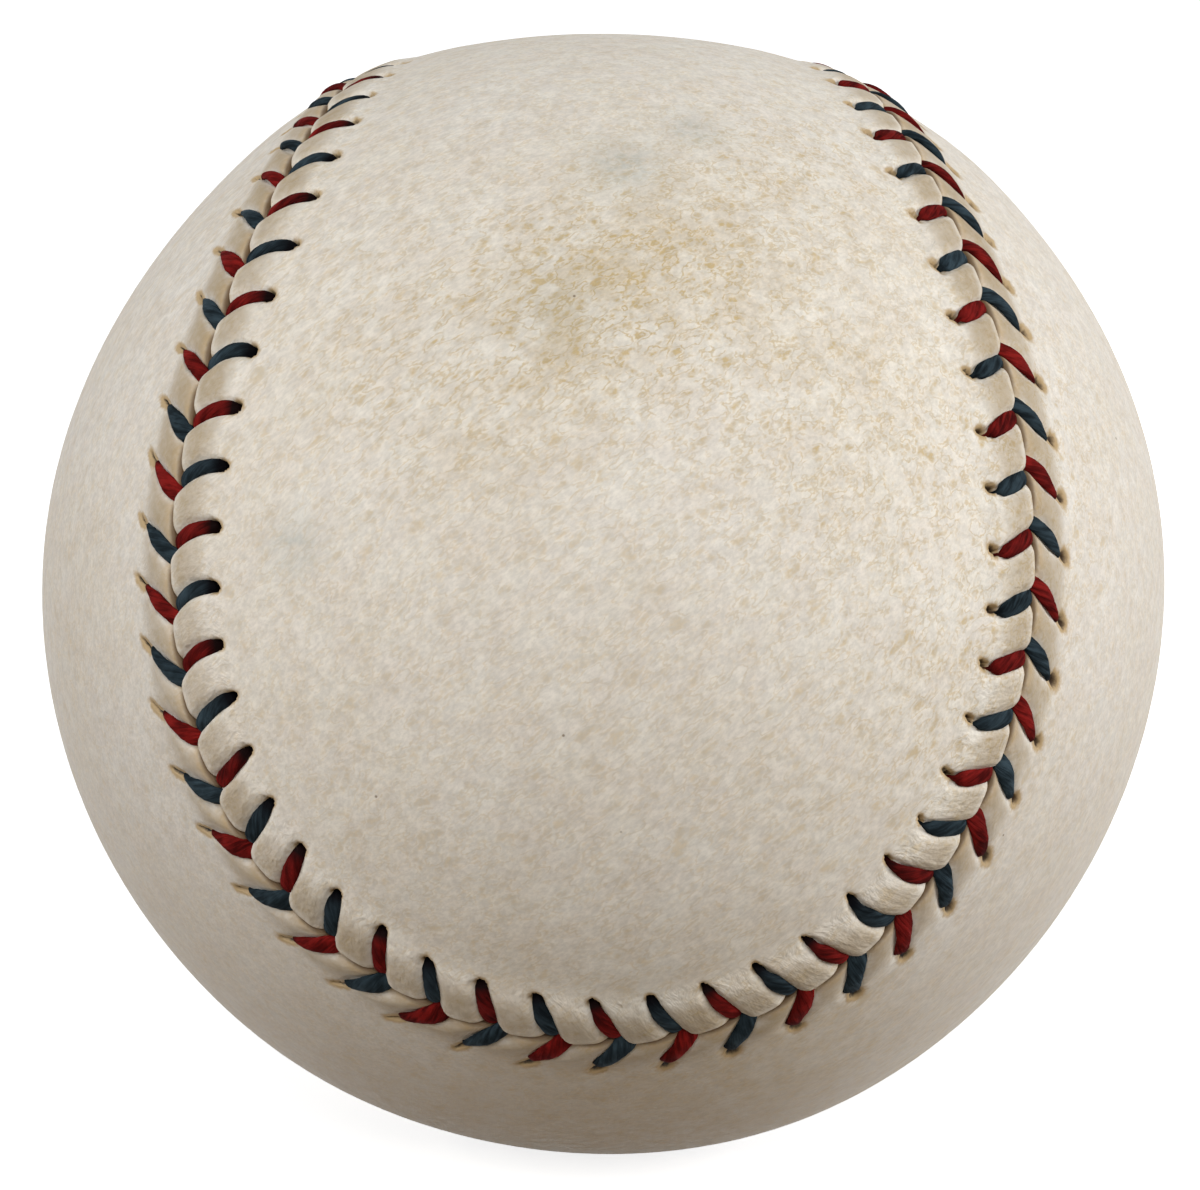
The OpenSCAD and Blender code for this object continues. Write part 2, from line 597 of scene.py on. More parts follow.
    @cached_property
    def halos(self) -> Ovals:
        """The torn tan leather round each hole."""
        hole, sewing = self.holes, self.sewing
        return Ovals(hole.ahead + sewing.torn_ahead, hole.off + sewing.torn_off,
                     hole.half_wide + sewing.torn_wide.over(self),
                     hole.half_long + sewing.torn_long, hole.lean)


class Desk:
    """Adds and links the nodes of one material, group or world."""

    def __init__(self, tree: bpy.types.NodeTree) -> None:
        """Keeps the tree that the nodes go into."""
        self.tree = tree

    def add(self, kind: str, settings: dict[str, Any] | None = None,
            inputs: dict[str | int, Any] | None = None) -> bpy.types.Node:
        """Adds a node.

        Args:
            kind: The node's type, without its ShaderNode part.
            settings: Properties of the node.
            inputs: Values or sockets for its inputs, by name or number.

        Returns:
            The node.
        """
        node = self.tree.nodes.new("ShaderNode" + kind)
        for key, value in (settings or {}).items():
            setattr(node, key, value)
        for key, value in (inputs or {}).items():
            self.feed(node.inputs[key], value)
        return node

    def feed(self, socket: Socket, value: Any) -> None:
        """Links a socket to an input, or writes a plain value into it.

        Args:
            socket: The input.
            value: A socket, a number, a vector, or a colour without its alpha.
        """
        if isinstance(value, Socket):
            self.tree.links.new(value, socket)
        elif isinstance(value, tuple) and socket.type == "RGBA":
            socket.default_value = (*value, 1.0)
        else:
            socket.default_value = value

    def math(self, operation: str, *values: Any) -> Socket:
        """A number worked out by a Math node."""
        return self.add("Math", {"operation": operation}, dict(enumerate(values))).outputs[0]

    def vector(self, operation: str, *values: Any) -> Socket:
        """A vector worked out by a Vector Math node.

        Args:
            operation: What the node does.
            values: Its inputs, in order; the second of SCALE is its factor.

        Returns:
            The vector.
        """
        node = self.add("VectorMath", {"operation": operation})
        for index, value in enumerate(values):
            name = "Scale" if operation == "SCALE" and index == 1 else index
            self.feed(node.inputs[name], value)
        return node.outputs[0]

    def times(self, first: Any, second: Any) -> Socket:
        """The product of two numbers."""
        return self.math("MULTIPLY", first, second)

    def plus(self, first: Any, second: Any) -> Socket:
        """The sum of two numbers."""
        return self.math("ADD", first, second)

    def rise(self, value: Any, low: Any, high: Any,
             start: float = 0.0, end: float = 1.0) -> Socket:
        """A smooth step.

        Args:
            value: The value to map.
            low: Value where the step starts.
            high: Value where it ends.
            start: What the step gives up to low.
            end: What it gives from high on.

        Returns:
            The mapped value.
        """
        inputs = {"Value": value, "From Min": low, "From Max": high,
                  "To Min": start, "To Max": end}
        return self.add("MapRange", {"interpolation_type": "SMOOTHSTEP"}, inputs).outputs[0]

    def mix(self, share: Any, first: Any, second: Any, blend: str = "MIX") -> Socket:
        """Two colours mixed by a share."""
        settings = {"data_type": "RGBA", "blend_type": blend}
        return self.add("Mix", settings, {0: share, 6: first, 7: second}).outputs[2]

    def noise(self, vector: Any, scale: Any, detail: float = 2.0,
              roughness: float = 0.5) -> Socket:
        """The value of a Noise texture."""
        inputs = {"Vector": vector, "Scale": scale, "Detail": detail, "Roughness": roughness}
        return self.add("TexNoise", None, inputs).outputs[0]

    def bump(self, height: Socket, distance: float, strength: float = 1.0) -> Socket:
        """The normal that a Bump node gives for a height."""
        inputs = {"Height": height, "Distance": distance, "Strength": strength}
        return self.add("Bump", None, inputs).outputs[0]

    def place(self) -> Socket:
        """Object coordinates."""
        return self.add("TexCoord").outputs["Object"]

    def mark(self, name: str) -> Socket:
        """A number that the mesh carries at each point."""
        return self.add("Attribute", {"attribute_name": name}).outputs["Fac"]

    def mark_vector(self, name: str) -> Socket:
        """A vector that the mesh carries at each point."""
        return self.add("Attribute", {"attribute_name": name}).outputs["Vector"]

    def group(self, tree: bpy.types.NodeTree, inputs: dict[str, Any]) -> bpy.types.Node:
        """Places a node group.

        Args:
            tree: The group.
            inputs: Values or sockets for its inputs, by name.

        Returns:
            The group's node.
        """
        node = self.add("Group")
        node.node_tree = tree
        for key, value in inputs.items():
            self.feed(node.inputs[key], value)
        return node


def clear_desk(owner: bpy.types.Material | bpy.types.World) -> Desk:
    """Empties the node tree of a material or a world.

    Args:
        owner: The material or world.

    Returns:
        The desk for its nodes.
    """
    owner.use_nodes = True
    owner.node_tree.nodes.clear()
    return Desk(owner.node_tree)


SOCKETS = {"vector": "NodeSocketVector", "number": "NodeSocketFloat"}


def open_group(name: str, inputs: dict[str, str], outputs: dict[str, str]
               ) -> tuple[Desk, bpy.types.Node, bpy.types.Node]:
    """Starts a shader node group.

    Args:
        name: Name of the group.
        inputs: Names of its inputs, each with a kind from SOCKETS.
        outputs: Names of its outputs, each with a kind from SOCKETS.

    Returns:
        The desk for its nodes, its input node and its output node.
    """
    tree = bpy.data.node_groups.new(name, "ShaderNodeTree")
    for way, names in (("INPUT", inputs), ("OUTPUT", outputs)):
        for label, kind in names.items():
            tree.interface.new_socket(name=label, in_out=way, socket_type=SOCKETS[kind])
    return Desk(tree), tree.nodes.new("NodeGroupInput"), tree.nodes.new("NodeGroupOutput")


@dataclass
class Groups:
    """The effects that more than one material uses, each a node group."""

    grain: bpy.types.NodeTree = field(init=False)
    mottle: bpy.types.NodeTree = field(init=False)
    specks: bpy.types.NodeTree = field(init=False)
    yarn: bpy.types.NodeTree = field(init=False)
    fibre: bpy.types.NodeTree = field(init=False)

    def __post_init__(self) -> None:
        """Builds every group once."""
        self.grain = self.build_grain()
        self.mottle = self.build_mottle()
        self.specks = self.build_specks()
        self.yarn = self.build_yarn()
        self.fibre = self.build_fibre()

    @staticmethod
    def build_grain() -> bpy.types.NodeTree:
        """Leather grain: low ripples, with tan dirt in the creases between them.

        Pebble is the width of a ripple in metres. Crease is 1 in the valleys
        and along the middle values of a noise that is drawn out along one
        direction, and is broken up so that few of them run on. Height is the
        relief, and Fine the uneven tone of the fibres.

        Returns:
            The group.
        """
        desk, start, end = open_group(
            "pebble_grain", {"Vector": "vector", "Pebble": "number", "Broken": "number"},
            {"Crease": "number", "Height": "number", "Fine": "number"})
        vector, pebble, broken = start.outputs[:3]
        scale = desk.math("DIVIDE", 1.0, pebble)
        turned = desk.add("Mapping", {"vector_type": "TEXTURE"}, {
            "Vector": vector, "Rotation": (0.0, math.radians(-40), 0.0),
            "Scale": (2.3, 1.0, 1.0)}).outputs[0]
        ripples = desk.noise(turned, scale, 3.0, 0.5)
        valley = desk.rise(ripples, 0.32, 0.48, 1.0, 0.0)
        line = desk.rise(desk.math("ABSOLUTE", desk.math("SUBTRACT", ripples, 0.52)),
                         0.0, 0.06, 0.8, 0.0)
        valley = desk.math("MAXIMUM", valley, line)
        fine = desk.noise(turned, desk.times(scale, 3.2), 3.0, 0.6)
        patches = desk.noise(vector, desk.times(scale, 0.6), 3.0, 0.6)
        kept = desk.rise(patches, broken, desk.plus(broken, 0.22))
        crease = desk.times(valley, kept)
        crease = desk.times(crease, desk.rise(fine, 0.30, 0.60, 0.35))
        relief = desk.plus(desk.times(fine, 0.3), desk.times(ripples, 1.3))
        desk.feed(end.inputs["Crease"], crease)
        desk.feed(end.inputs["Height"], relief)
        desk.feed(end.inputs["Fine"], desk.rise(fine, 0.25, 0.75))
        return desk.tree

    @staticmethod
    def build_mottle() -> bpy.types.NodeTree:
        """Uneven tone: Broad drifts over Size metres, Fine over a tenth of it.

        Returns:
            The group.
        """
        desk, start, end = open_group(
            "soft_mottle", {"Vector": "vector", "Size": "number"},
            {"Broad": "number", "Fine": "number"})
        scale = desk.math("DIVIDE", 1.0, start.outputs["Size"])
        broad = desk.noise(start.outputs["Vector"], scale, 3.0, 0.55)
        fine = desk.noise(start.outputs["Vector"], desk.times(scale, 10.0), 3.0, 0.6)
        desk.feed(end.inputs["Broad"], desk.rise(broad, 0.3, 0.7))
        desk.feed(end.inputs["Fine"], desk.rise(fine, 0.25, 0.75))
        return desk.tree

    @staticmethod
    def build_specks() -> bpy.types.NodeTree:
        """Small dots, one in some of the cells of a Voronoi texture.

        Spacing is the cells' size in metres, Size a dot's radius in cells,
        and Share how many of the cells have one.

        Returns:
            The group.
        """
        desk, start, end = open_group(
            "specks", {"Vector": "vector", "Spacing": "number", "Size": "number",
                       "Share": "number"}, {"Speck": "number"})
        scale = desk.math("DIVIDE", 1.0, start.outputs["Spacing"])
        cells = desk.add("TexVoronoi", None, {"Vector": start.outputs["Vector"], "Scale": scale})
        size = start.outputs["Size"]
        dot = desk.rise(cells.outputs["Distance"], desk.times(size, 0.4), size, 1.0, 0.0)
        pick = desk.add("SeparateColor", None, {0: cells.outputs["Color"]}).outputs[0]
        chosen = desk.math("LESS_THAN", pick, start.outputs["Share"])
        desk.feed(end.inputs["Speck"], desk.times(dot, chosen))
        return desk.tree

    @staticmethod
    def build_yarn() -> bpy.types.NodeTree:
        """Turns of yarn that cross at three angles, each family in patches.

        Yarn is its thickness in metres. Height is the relief of the turns,
        and Shade the dark between them.

        Returns:
            The group.
        """
        desk, start, end = open_group(
            "yarn_turns", {"Vector": "vector", "Yarn": "number"},
            {"Height": "number", "Shade": "number"})
        vector = start.outputs["Vector"]
        scale = desk.math("DIVIDE", 0.314, start.outputs["Yarn"])
        height: Any = 0.0
        for patch_scale, angles in ((90.0, (0.3, 0.5, 0.2)), (110.0, (1.4, 0.2, 1.1)),
                                    (130.0, (0.6, 1.3, 2.2))):
            laid = desk.add("Mapping", None, {"Vector": vector, "Rotation": angles}).outputs[0]
            bands = desk.add("TexWave", None, {
                "Vector": laid, "Scale": scale, "Distortion": 0.6,
                "Detail Scale": 0.4}).outputs["Fac"]
            patch = desk.noise(laid, patch_scale, 1.0)
            bands = desk.times(bands, desk.rise(patch, 0.38, 0.5, 0.35))
            height = desk.math("MAXIMUM", height, bands)
        fuzz = desk.noise(vector, 5000.0, 2.0)
        desk.feed(end.inputs["Height"], desk.plus(height, desk.times(fuzz, 0.2)))
        desk.feed(end.inputs["Shade"], desk.rise(height, 0.1, 0.6))
        return desk.tree

    @staticmethod
    def build_fibre() -> bpy.types.NodeTree:
        """Fine fibres along a thread, from the coordinates it carries.

        Lay is (along, across, through) in millimetres, turned with the twist.
        Shade is the fibres' light and dark, and Height their relief.

        Returns:
            The group.
        """
        desk, start, end = open_group(
            "thread_fibre", {"Lay": "vector"}, {"Shade": "number", "Height": "number"})
        lay = start.outputs["Lay"]
        drawn = desk.add("Mapping", None, {"Vector": lay, "Scale": (0.5, 5.5, 5.5)}).outputs[0]
        strands = desk.noise(drawn, 1.0, 3.0, 0.6)
        coarse = desk.add("Mapping", None, {"Vector": lay, "Scale": (0.8, 2.2, 2.2)}).outputs[0]
        clumps = desk.noise(coarse, 1.0, 2.0, 0.5)
        shade = desk.times(desk.plus(strands, clumps), 0.5)
        desk.feed(end.inputs["Shade"], desk.rise(shade, 0.37, 0.62))
        desk.feed(end.inputs["Height"], desk.plus(strands, desk.times(clumps, 0.6)))
        return desk.tree


def new_material(name: str) -> tuple[bpy.types.Material, Desk, bpy.types.Node]:
    """Makes a material with nothing but a Principled shader.

    Args:
        name: Name of the material.

    Returns:
        The material, the desk for its nodes and its shader.
    """
    material = bpy.data.materials.new(name)
    desk = clear_desk(material)
    shader = desk.add("BsdfPrincipled")
    desk.feed(desk.add("OutputMaterial").inputs["Surface"], shader.outputs[0])
    return material, desk, shader


@dataclass(frozen=True)
class LeatherFinish:
    """Alum-tanned horsehide, aged cream, with tan creases and handling marks.

    Colours are linear and sizes in metres. A share is how far a colour, at its
    strongest, covers what is under it, and a scale is that of a noise. Where
    the grime is as strong as grime_half it covers half of the leather.
    """

    name: str
    cream: Colour = (0.800, 0.762, 0.688)
    warm: Colour = (0.715, 0.650, 0.545)
    blush: Colour = (0.710, 0.640, 0.570)
    crease: Colour = (0.510, 0.372, 0.165)
    stain: Colour = (0.600, 0.510, 0.370)
    smudge: Colour = (0.330, 0.370, 0.360)
    grime: Colour = (0.330, 0.235, 0.115)
    raw_edge: Colour = (0.460, 0.318, 0.150)
    # Dirt and painted shade in the seam's gap.
    gap_dirt_and_shade: Colour = (0.130, 0.078, 0.036)
    # Painted shade inside the holes, brown and black.
    brown_hole_shade: Colour = (0.075, 0.040, 0.018)
    black_hole_shade: Colour = (0.006, 0.005, 0.004)
    speck: Colour = (0.180, 0.120, 0.060)
    warm_share: float = 0.40
    blush_share: float = 0.42
    freckle_share: float = 0.14
    stain_share: float = 0.65
    crease_share: float = 0.42
    crease_in_stain: float = 0.30
    crease_most: float = 0.85
    speck_share: float = 0.80
    # How much dirt and painted shade the gap takes.
    gap_dirt_and_shade_share: float = 0.0
    grime_half: float = 0.36
    uneven: float = 0.06
    uneven_grain: float = 0.07
    pebble: float = 0.00068
    broken: float = 0.34
    drift: float = 0.008
    cloud: float = 0.0024
    speck_spacing: float = 0.0035
    speck_radius: float = 0.035
    specked: float = 0.4
    freckle_scale: float = 640.0
    dirt_scale: float = 1500.0
    fray_scale: float = 2200.0
    torn_scale: float = 2600.0
    pull_scale: float = 260.0
    relief: float = 0.00011
    relief_strength: float = 0.8
    roughness: float = 0.62
    shine: float = 0.30

    def build(self, groups: Groups) -> bpy.types.Material:
        """Makes the material.

        Args:
            groups: The shared node groups.

        Returns:
            The material.
        """
        material, desk, shader = new_material(self.name)
        place = desk.place()
        grain = desk.group(groups.grain, {
            "Vector": place, "Pebble": self.pebble, "Broken": self.broken})
        mottle = desk.group(groups.mottle, {"Vector": place, "Size": self.drift})
        cloud = desk.group(groups.mottle, {"Vector": place, "Size": self.cloud})
        specks = desk.group(groups.specks, {
            "Vector": place, "Spacing": self.speck_spacing, "Size": self.speck_radius,
            "Share": self.specked})
        colour = self.skin(desk, grain, mottle, cloud, place)
        colour = self.handled(desk, colour, grain, mottle, specks, place)
        colour = self.opened(desk, colour, place)
        desk.feed(shader.inputs["Base Color"], colour)
        rough = desk.rise(mottle.outputs["Fine"], 0.0, 1.0, self.roughness - 0.06,
                          self.roughness + 0.08)
        desk.feed(shader.inputs["Roughness"], rough)
        desk.feed(shader.inputs["Specular IOR Level"], self.shine)
        desk.feed(shader.inputs["Normal"], self.relief_normal(desk, grain, place))
        return material

    def skin(self, desk: Desk, grain: bpy.types.Node, mottle: bpy.types.Node,
             cloud: bpy.types.Node, place: Socket) -> Socket:
        """Cream leather with warmer drifts, freckles, stains and tan creases.

        Args:
            desk: The desk of the material.
            grain: The placed grain group.
            mottle: The placed mottle group.
            cloud: The mottle group again, at a smaller size.
            place: Object coordinates.

        Returns:
            The colour.
        """
        colour = desk.mix(desk.times(mottle.outputs["Broad"], self.warm_share),
                          self.cream, self.warm)
        colour = desk.mix(desk.times(cloud.outputs["Broad"], self.blush_share),
                          colour, self.blush)
        stain = desk.times(desk.mark("stain"), desk.rise(cloud.outputs["Broad"], 0.0, 0.9, 0.3))
        freckle = desk.rise(desk.noise(place, self.freckle_scale, 4.0, 0.66), 0.46, 0.72,
                            0.0, self.freckle_share)
        colour = desk.mix(desk.math("MAXIMUM", freckle, desk.times(stain, self.stain_share)),
                          colour, self.stain)
        depth = desk.plus(desk.mark("creased"), desk.times(stain, self.crease_in_stain))
        crease = desk.times(grain.outputs["Crease"], desk.plus(self.crease_share, depth))
        colour = desk.mix(desk.math("MINIMUM", crease, self.crease_most), colour, self.crease)
        bright = desk.times(
            desk.rise(mottle.outputs["Fine"], 0.0, 1.0, 1 - self.uneven, 1 + self.uneven),
            desk.rise(grain.outputs["Fine"], 0.0, 1.0, 1 - self.uneven_grain,
                      1 + self.uneven_grain))
        tone = desk.add("CombineColor", None, {0: bright, 1: bright, 2: bright}).outputs[0]
        return desk.mix(1.0, colour, tone, "MULTIPLY")

    def handled(self, desk: Desk, colour: Socket, grain: bpy.types.Node,
                mottle: bpy.types.Node, specks: bpy.types.Node, place: Socket) -> Socket:
        """Smudges, specks, and the grime beside the stitches.

        Args:
            desk: The desk of the material.
            colour: The colour of the leather.
            grain: The placed grain group.
            mottle: The placed mottle group.
            specks: The placed specks group.
            place: Object coordinates.

        Returns:
            The colour with these over it.
        """
        smudge = desk.times(desk.mark("smudge"),
                            desk.rise(mottle.outputs["Fine"], 0.0, 1.0, 0.15, 0.75))
        colour = desk.mix(smudge, colour, self.smudge)
        colour = desk.mix(desk.times(specks.outputs["Speck"], self.speck_share),
                          colour, self.speck)
        dirt = desk.rise(desk.noise(place, self.dirt_scale, 4.0, 0.6), 0.20, 0.80, 0.35, 0.95)
        dirt = desk.times(dirt, desk.rise(grain.outputs["Fine"], 0.0, 1.0, 0.75, 1.1))
        grime = desk.times(desk.mark("grime"), dirt)
        covered = desk.math("DIVIDE", grime, desk.plus(grime, self.grime_half))
        return desk.mix(covered, colour, self.grime)

    def opened(self, desk: Desk, colour: Socket, place: Socket) -> Socket:
        """The raw edge at the seam, the dirt and painted shade in its gap, and the
        torn mouths of the holes, with painted shade inside them.

        Args:
            desk: The desk of the material.
            colour: The colour of the leather.
            place: Object coordinates.

        Returns:
            The colour with these over it.
        """
        fray = desk.rise(desk.noise(place, self.fray_scale, 3.0, 0.6), 0.3, 0.7, 0.55)
        colour = desk.mix(desk.times(desk.mark("edge"), fray), colour, self.raw_edge)
        # Dirt and painted shade in the gap beside the other panel's edge.
        gap = desk.rise(desk.mark("off"), 0.06, 0.48, self.gap_dirt_and_shade_share, 0.0)
        colour = desk.mix(gap, colour, self.gap_dirt_and_shade)
        torn = desk.noise(place, self.torn_scale, 3.0, 0.6)
        torn = desk.times(desk.math("SUBTRACT", torn, 0.5), 0.9)
        halo = desk.rise(desk.plus(desk.mark("halo"), torn), 0.75, 1.35, 0.9, 0.0)
        colour = desk.mix(halo, colour, self.raw_edge)
        # Painted shade inside each hole: browner to the right of the ball, and black at its core.
        hole_shade_colour = desk.mix(desk.mark("brown"), self.black_hole_shade, self.brown_hole_shade)
        mouth = desk.plus(desk.mark("hole"), desk.times(torn, 0.5))
        colour = desk.mix(desk.rise(mouth, 0.75, 1.2, 1.0, 0.0), colour, hole_shade_colour)
        deep = desk.rise(desk.mark("hole"), 0.1, 0.6, 1.0, 0.0)
        return desk.mix(deep, colour, self.black_hole_shade)

    def relief_normal(self, desk: Desk, grain: bpy.types.Node, place: Socket) -> Socket:
        """Grain over the whole panel, with fine pulls in the leather at the legs.

        Args:
            desk: The desk of the material.
            grain: The placed grain group.
            place: Object coordinates.

        Returns:
            The normal for the shader.
        """
        run = desk.add("CombineXYZ", None, {
            0: desk.times(desk.mark("off"), 1.6),
            1: desk.times(desk.mark("beside"), 1.2)}).outputs[0]
        run = desk.vector("ADD", run, desk.vector("SCALE", place, self.pull_scale))
        near = desk.rise(desk.mark("off"), 3.2, 4.6, 1.0, 0.0)
        pulls = desk.times(desk.noise(run, 1.0, 2.0, 0.55), near)
        rough = desk.plus(desk.times(desk.mark("creased"), 2.2), 0.30)
        height = desk.times(grain.outputs["Height"], rough)
        height = desk.plus(height, desk.times(pulls, 1.5))
        return desk.bump(height, self.relief, self.relief_strength)


@dataclass(frozen=True)
class ThreadFinish:
    """Waxed cotton thread of one colour, with its fibres and a dull shine."""

    name: str
    dark: Colour
    light: Colour
    thread_shade: Colour
    fibre_share: float = 0.72
    own_share: float = 0.28
    wear_scale: float = 900.0
    roughness: float = 0.75
    shine: float = 0.04
    relief: float = 0.00018
    relief_strength: float = 0.8

    def build(self, groups: Groups) -> bpy.types.Material:
        """Makes the material.

        Args:
            groups: The shared node groups.

        Returns:
            The material.
        """
        material, desk, shader = new_material(self.name)
        fibre = desk.group(groups.fibre, {"Lay": desk.mark_vector("lay")})
        worn = desk.rise(desk.noise(desk.place(), self.wear_scale), 0.3, 0.7)
        share = desk.plus(desk.times(fibre.outputs["Shade"], self.fibre_share),
                          desk.times(desk.mark("tone"), self.own_share))
        share = desk.times(share, desk.rise(worn, 0.0, 1.0, 0.7, 1.1))
        colour = desk.mix(share, self.dark, self.light)
        # Painted shade: the thread darkens near its holes, and under the leather, by its shade
        # mark.
        colour = desk.mix(desk.mark("thread_shade"), colour, self.thread_shade)
        desk.feed(shader.inputs["Base Color"], colour)
        rough = desk.rise(fibre.outputs["Shade"], 0.0, 1.0, self.roughness + 0.1,
                          self.roughness - 0.08)
        desk.feed(shader.inputs["Roughness"], rough)
        desk.feed(shader.inputs["Specular IOR Level"], self.shine)
        normal = desk.bump(fibre.outputs["Height"], self.relief, self.relief_strength)
        desk.feed(shader.inputs["Normal"], normal)
        return material


@dataclass(frozen=True)
class YarnFinish:
    """Wound wool or cotton yarn of one colour."""

    name: str
    yarn: Colour
    between: Colour
    thickness: float
    drift: float = 0.012
    fleck_share: float = 0.35
    roughness: float = 0.9
    sheen: float = 0.3

    def build(self, groups: Groups) -> bpy.types.Material:
        """Makes the material.

        Args:
            groups: The shared node groups.

        Returns:
            The material.
        """
        material, desk, shader = new_material(self.name)
        place = desk.place()
        turns = desk.group(groups.yarn, {"Vector": place, "Yarn": self.thickness})
        mottle = desk.group(groups.mottle, {"Vector": place, "Size": self.drift})
        fleck = desk.rise(mottle.outputs["Fine"], 0.2, 0.8, 0.0, self.fleck_share)
        # Painted shade: the darker colour fills the grooves between the turns; the flecks of it are
        # random.
        colour = desk.mix(turns.outputs["Shade"], self.between, self.yarn)
        colour = desk.mix(fleck, colour, self.between)
        desk.feed(shader.inputs["Base Color"], colour)
        desk.feed(shader.inputs["Roughness"], self.roughness)
        desk.feed(shader.inputs["Sheen Weight"], self.sheen)
        normal = desk.bump(turns.outputs["Height"], 0.5 * self.thickness)
        desk.feed(shader.inputs["Normal"], normal)
        return material


@dataclass(frozen=True)
class MouldedFinish:
    """Moulded rubber, or cork crumb bound with rubber."""

    name: str
    body: Colour
    bloom: Colour
    crumb: Colour
    roughness: float
    crumb_spacing: float = 0.0012
    crumb_share: float = 0.15
    crumb_radius: float = 0.45
    bloom_share: float = 0.4
    drift: float = 0.006
    relief: float = 0.00006

    def build(self, groups: Groups) -> bpy.types.Material:
        """Makes the material.

        Args:
            groups: The shared node groups.

        Returns:
            The material.
        """
        material, desk, shader = new_material(self.name)
        place = desk.place()
        mottle = desk.group(groups.mottle, {"Vector": place, "Size": self.drift})
        specks = desk.group(groups.specks, {
            "Vector": place, "Spacing": self.crumb_spacing, "Size": self.crumb_radius,
            "Share": self.crumb_share})
        bloom = desk.times(mottle.outputs["Broad"], self.bloom_share)
        colour = desk.mix(bloom, self.body, self.bloom)
        colour = desk.mix(specks.outputs["Speck"], colour, self.crumb)
        desk.feed(shader.inputs["Base Color"], colour)
        rough = desk.rise(mottle.outputs["Fine"], 0.0, 1.0, self.roughness - 0.08,
                          self.roughness + 0.08)
        desk.feed(shader.inputs["Roughness"], rough)
        height = desk.plus(specks.outputs["Speck"], mottle.outputs["Fine"])
        desk.feed(shader.inputs["Normal"], desk.bump(height, self.relief))
        return material


@dataclass
class Surface:
    """Points, faces and marks of one closed surface, gathered part by part."""

    points: list[Array] = field(default_factory=list)
    quads: list[Array] = field(default_factory=list)
    triangles: list[Array] = field(default_factory=list)
    marks: dict[str, list[Array]] = field(default_factory=dict)
    count: int = 0

    def add_points(self, points: Array, marks: dict[str, Array]) -> Array:
        """Adds points with their marks.

        Args:
            points: Places in millimetres, in any grid with 3 at its end.
            marks: A value, or a vector, of each name for each point.

        Returns:
            The numbers of the points, in the same grid.
        """
        flat = points.reshape(-1, 3)
        for name, values in marks.items():
            width = 3 if values.ndim == points.ndim and values.shape[-1] == 3 else 1
            spread = np.broadcast_to(values, points.shape[:-1] + ((3,) if width == 3 else ()))
            self.marks.setdefault(name, []).append(spread.reshape(len(flat), -1))
        numbers = self.count + np.arange(len(flat))
        self.points.append(flat)
        self.count += len(flat)
        return numbers.reshape(points.shape[:-1])

    def add_faces(self, faces: Array, outward: bool) -> None:
        """Adds faces, all turned the same way.

        Args:
            faces: Rows of three or four point numbers, wound alike.
            outward: Whether they look away from the ball's centre.
        """
        points = np.concatenate(self.points)
        corners = points[faces]
        normal = np.cross(corners[:, 1] - corners[:, 0], corners[:, 2] - corners[:, 0])
        looks_out = (normal * corners[:, 0]).sum() > 0
        kept = faces if looks_out == outward else faces[:, ::-1]
        (self.quads if faces.shape[1] == 4 else self.triangles).append(kept)

    def make(self, name: str, material: bpy.types.Material) -> bpy.types.Object:
        """Puts the surface into a new object, in metres.

        Args:
            name: Name of the piece.
            material: Its material.

        Returns:
            The object, at the origin.
        """
        points = np.concatenate(self.points) * MM
        quads = np.concatenate(self.quads) if self.quads else np.zeros((0, 4), int)
        tris = np.concatenate(self.triangles) if self.triangles else np.zeros((0, 3), int)
        mesh = bpy.data.meshes.new(name)
        mesh.vertices.add(len(points))
        mesh.vertices.foreach_set("co", points.astype(np.float32).ravel())
        corners = np.concatenate([quads.ravel(), tris.ravel()])
        starts = np.concatenate([4 * np.arange(len(quads)),
                                 quads.size + 3 * np.arange(len(tris))])
        mesh.loops.add(len(corners))
        mesh.loops.foreach_set("vertex_index", corners.astype(np.int32))
        mesh.polygons.add(len(starts))
        mesh.polygons.foreach_set("loop_start", starts.astype(np.int32))
        for label, parts in self.marks.items():
            values = np.concatenate(parts).astype(np.float32)
            kind, slot = ("FLOAT", "value") if values.shape[1] == 1 else ("FLOAT_VECTOR", "vector")
            mesh.attributes.new(label, kind, "POINT").data.foreach_set(slot, values.ravel())
        mesh.update(calc_edges=True)
        mesh.validate()
        mesh.shade_smooth()
        mesh.materials.append(material)
        piece = bpy.data.objects.new(name, mesh)
        bpy.context.scene.collection.objects.link(piece)
        return piece


@dataclass(frozen=True)
class Patch:
    """A soft-edged place on the cover, such as a stain, in millimetres."""

    centre: tuple[float, float, float]
    radius: float
    strength: float

    def share(self, points: Array) -> Array:
        """How much of it each point has: strength times a bell of distance."""
        away = np.linalg.norm(points - np.array(self.centre), axis=-1)
        return self.strength * bell(away, self.radius)


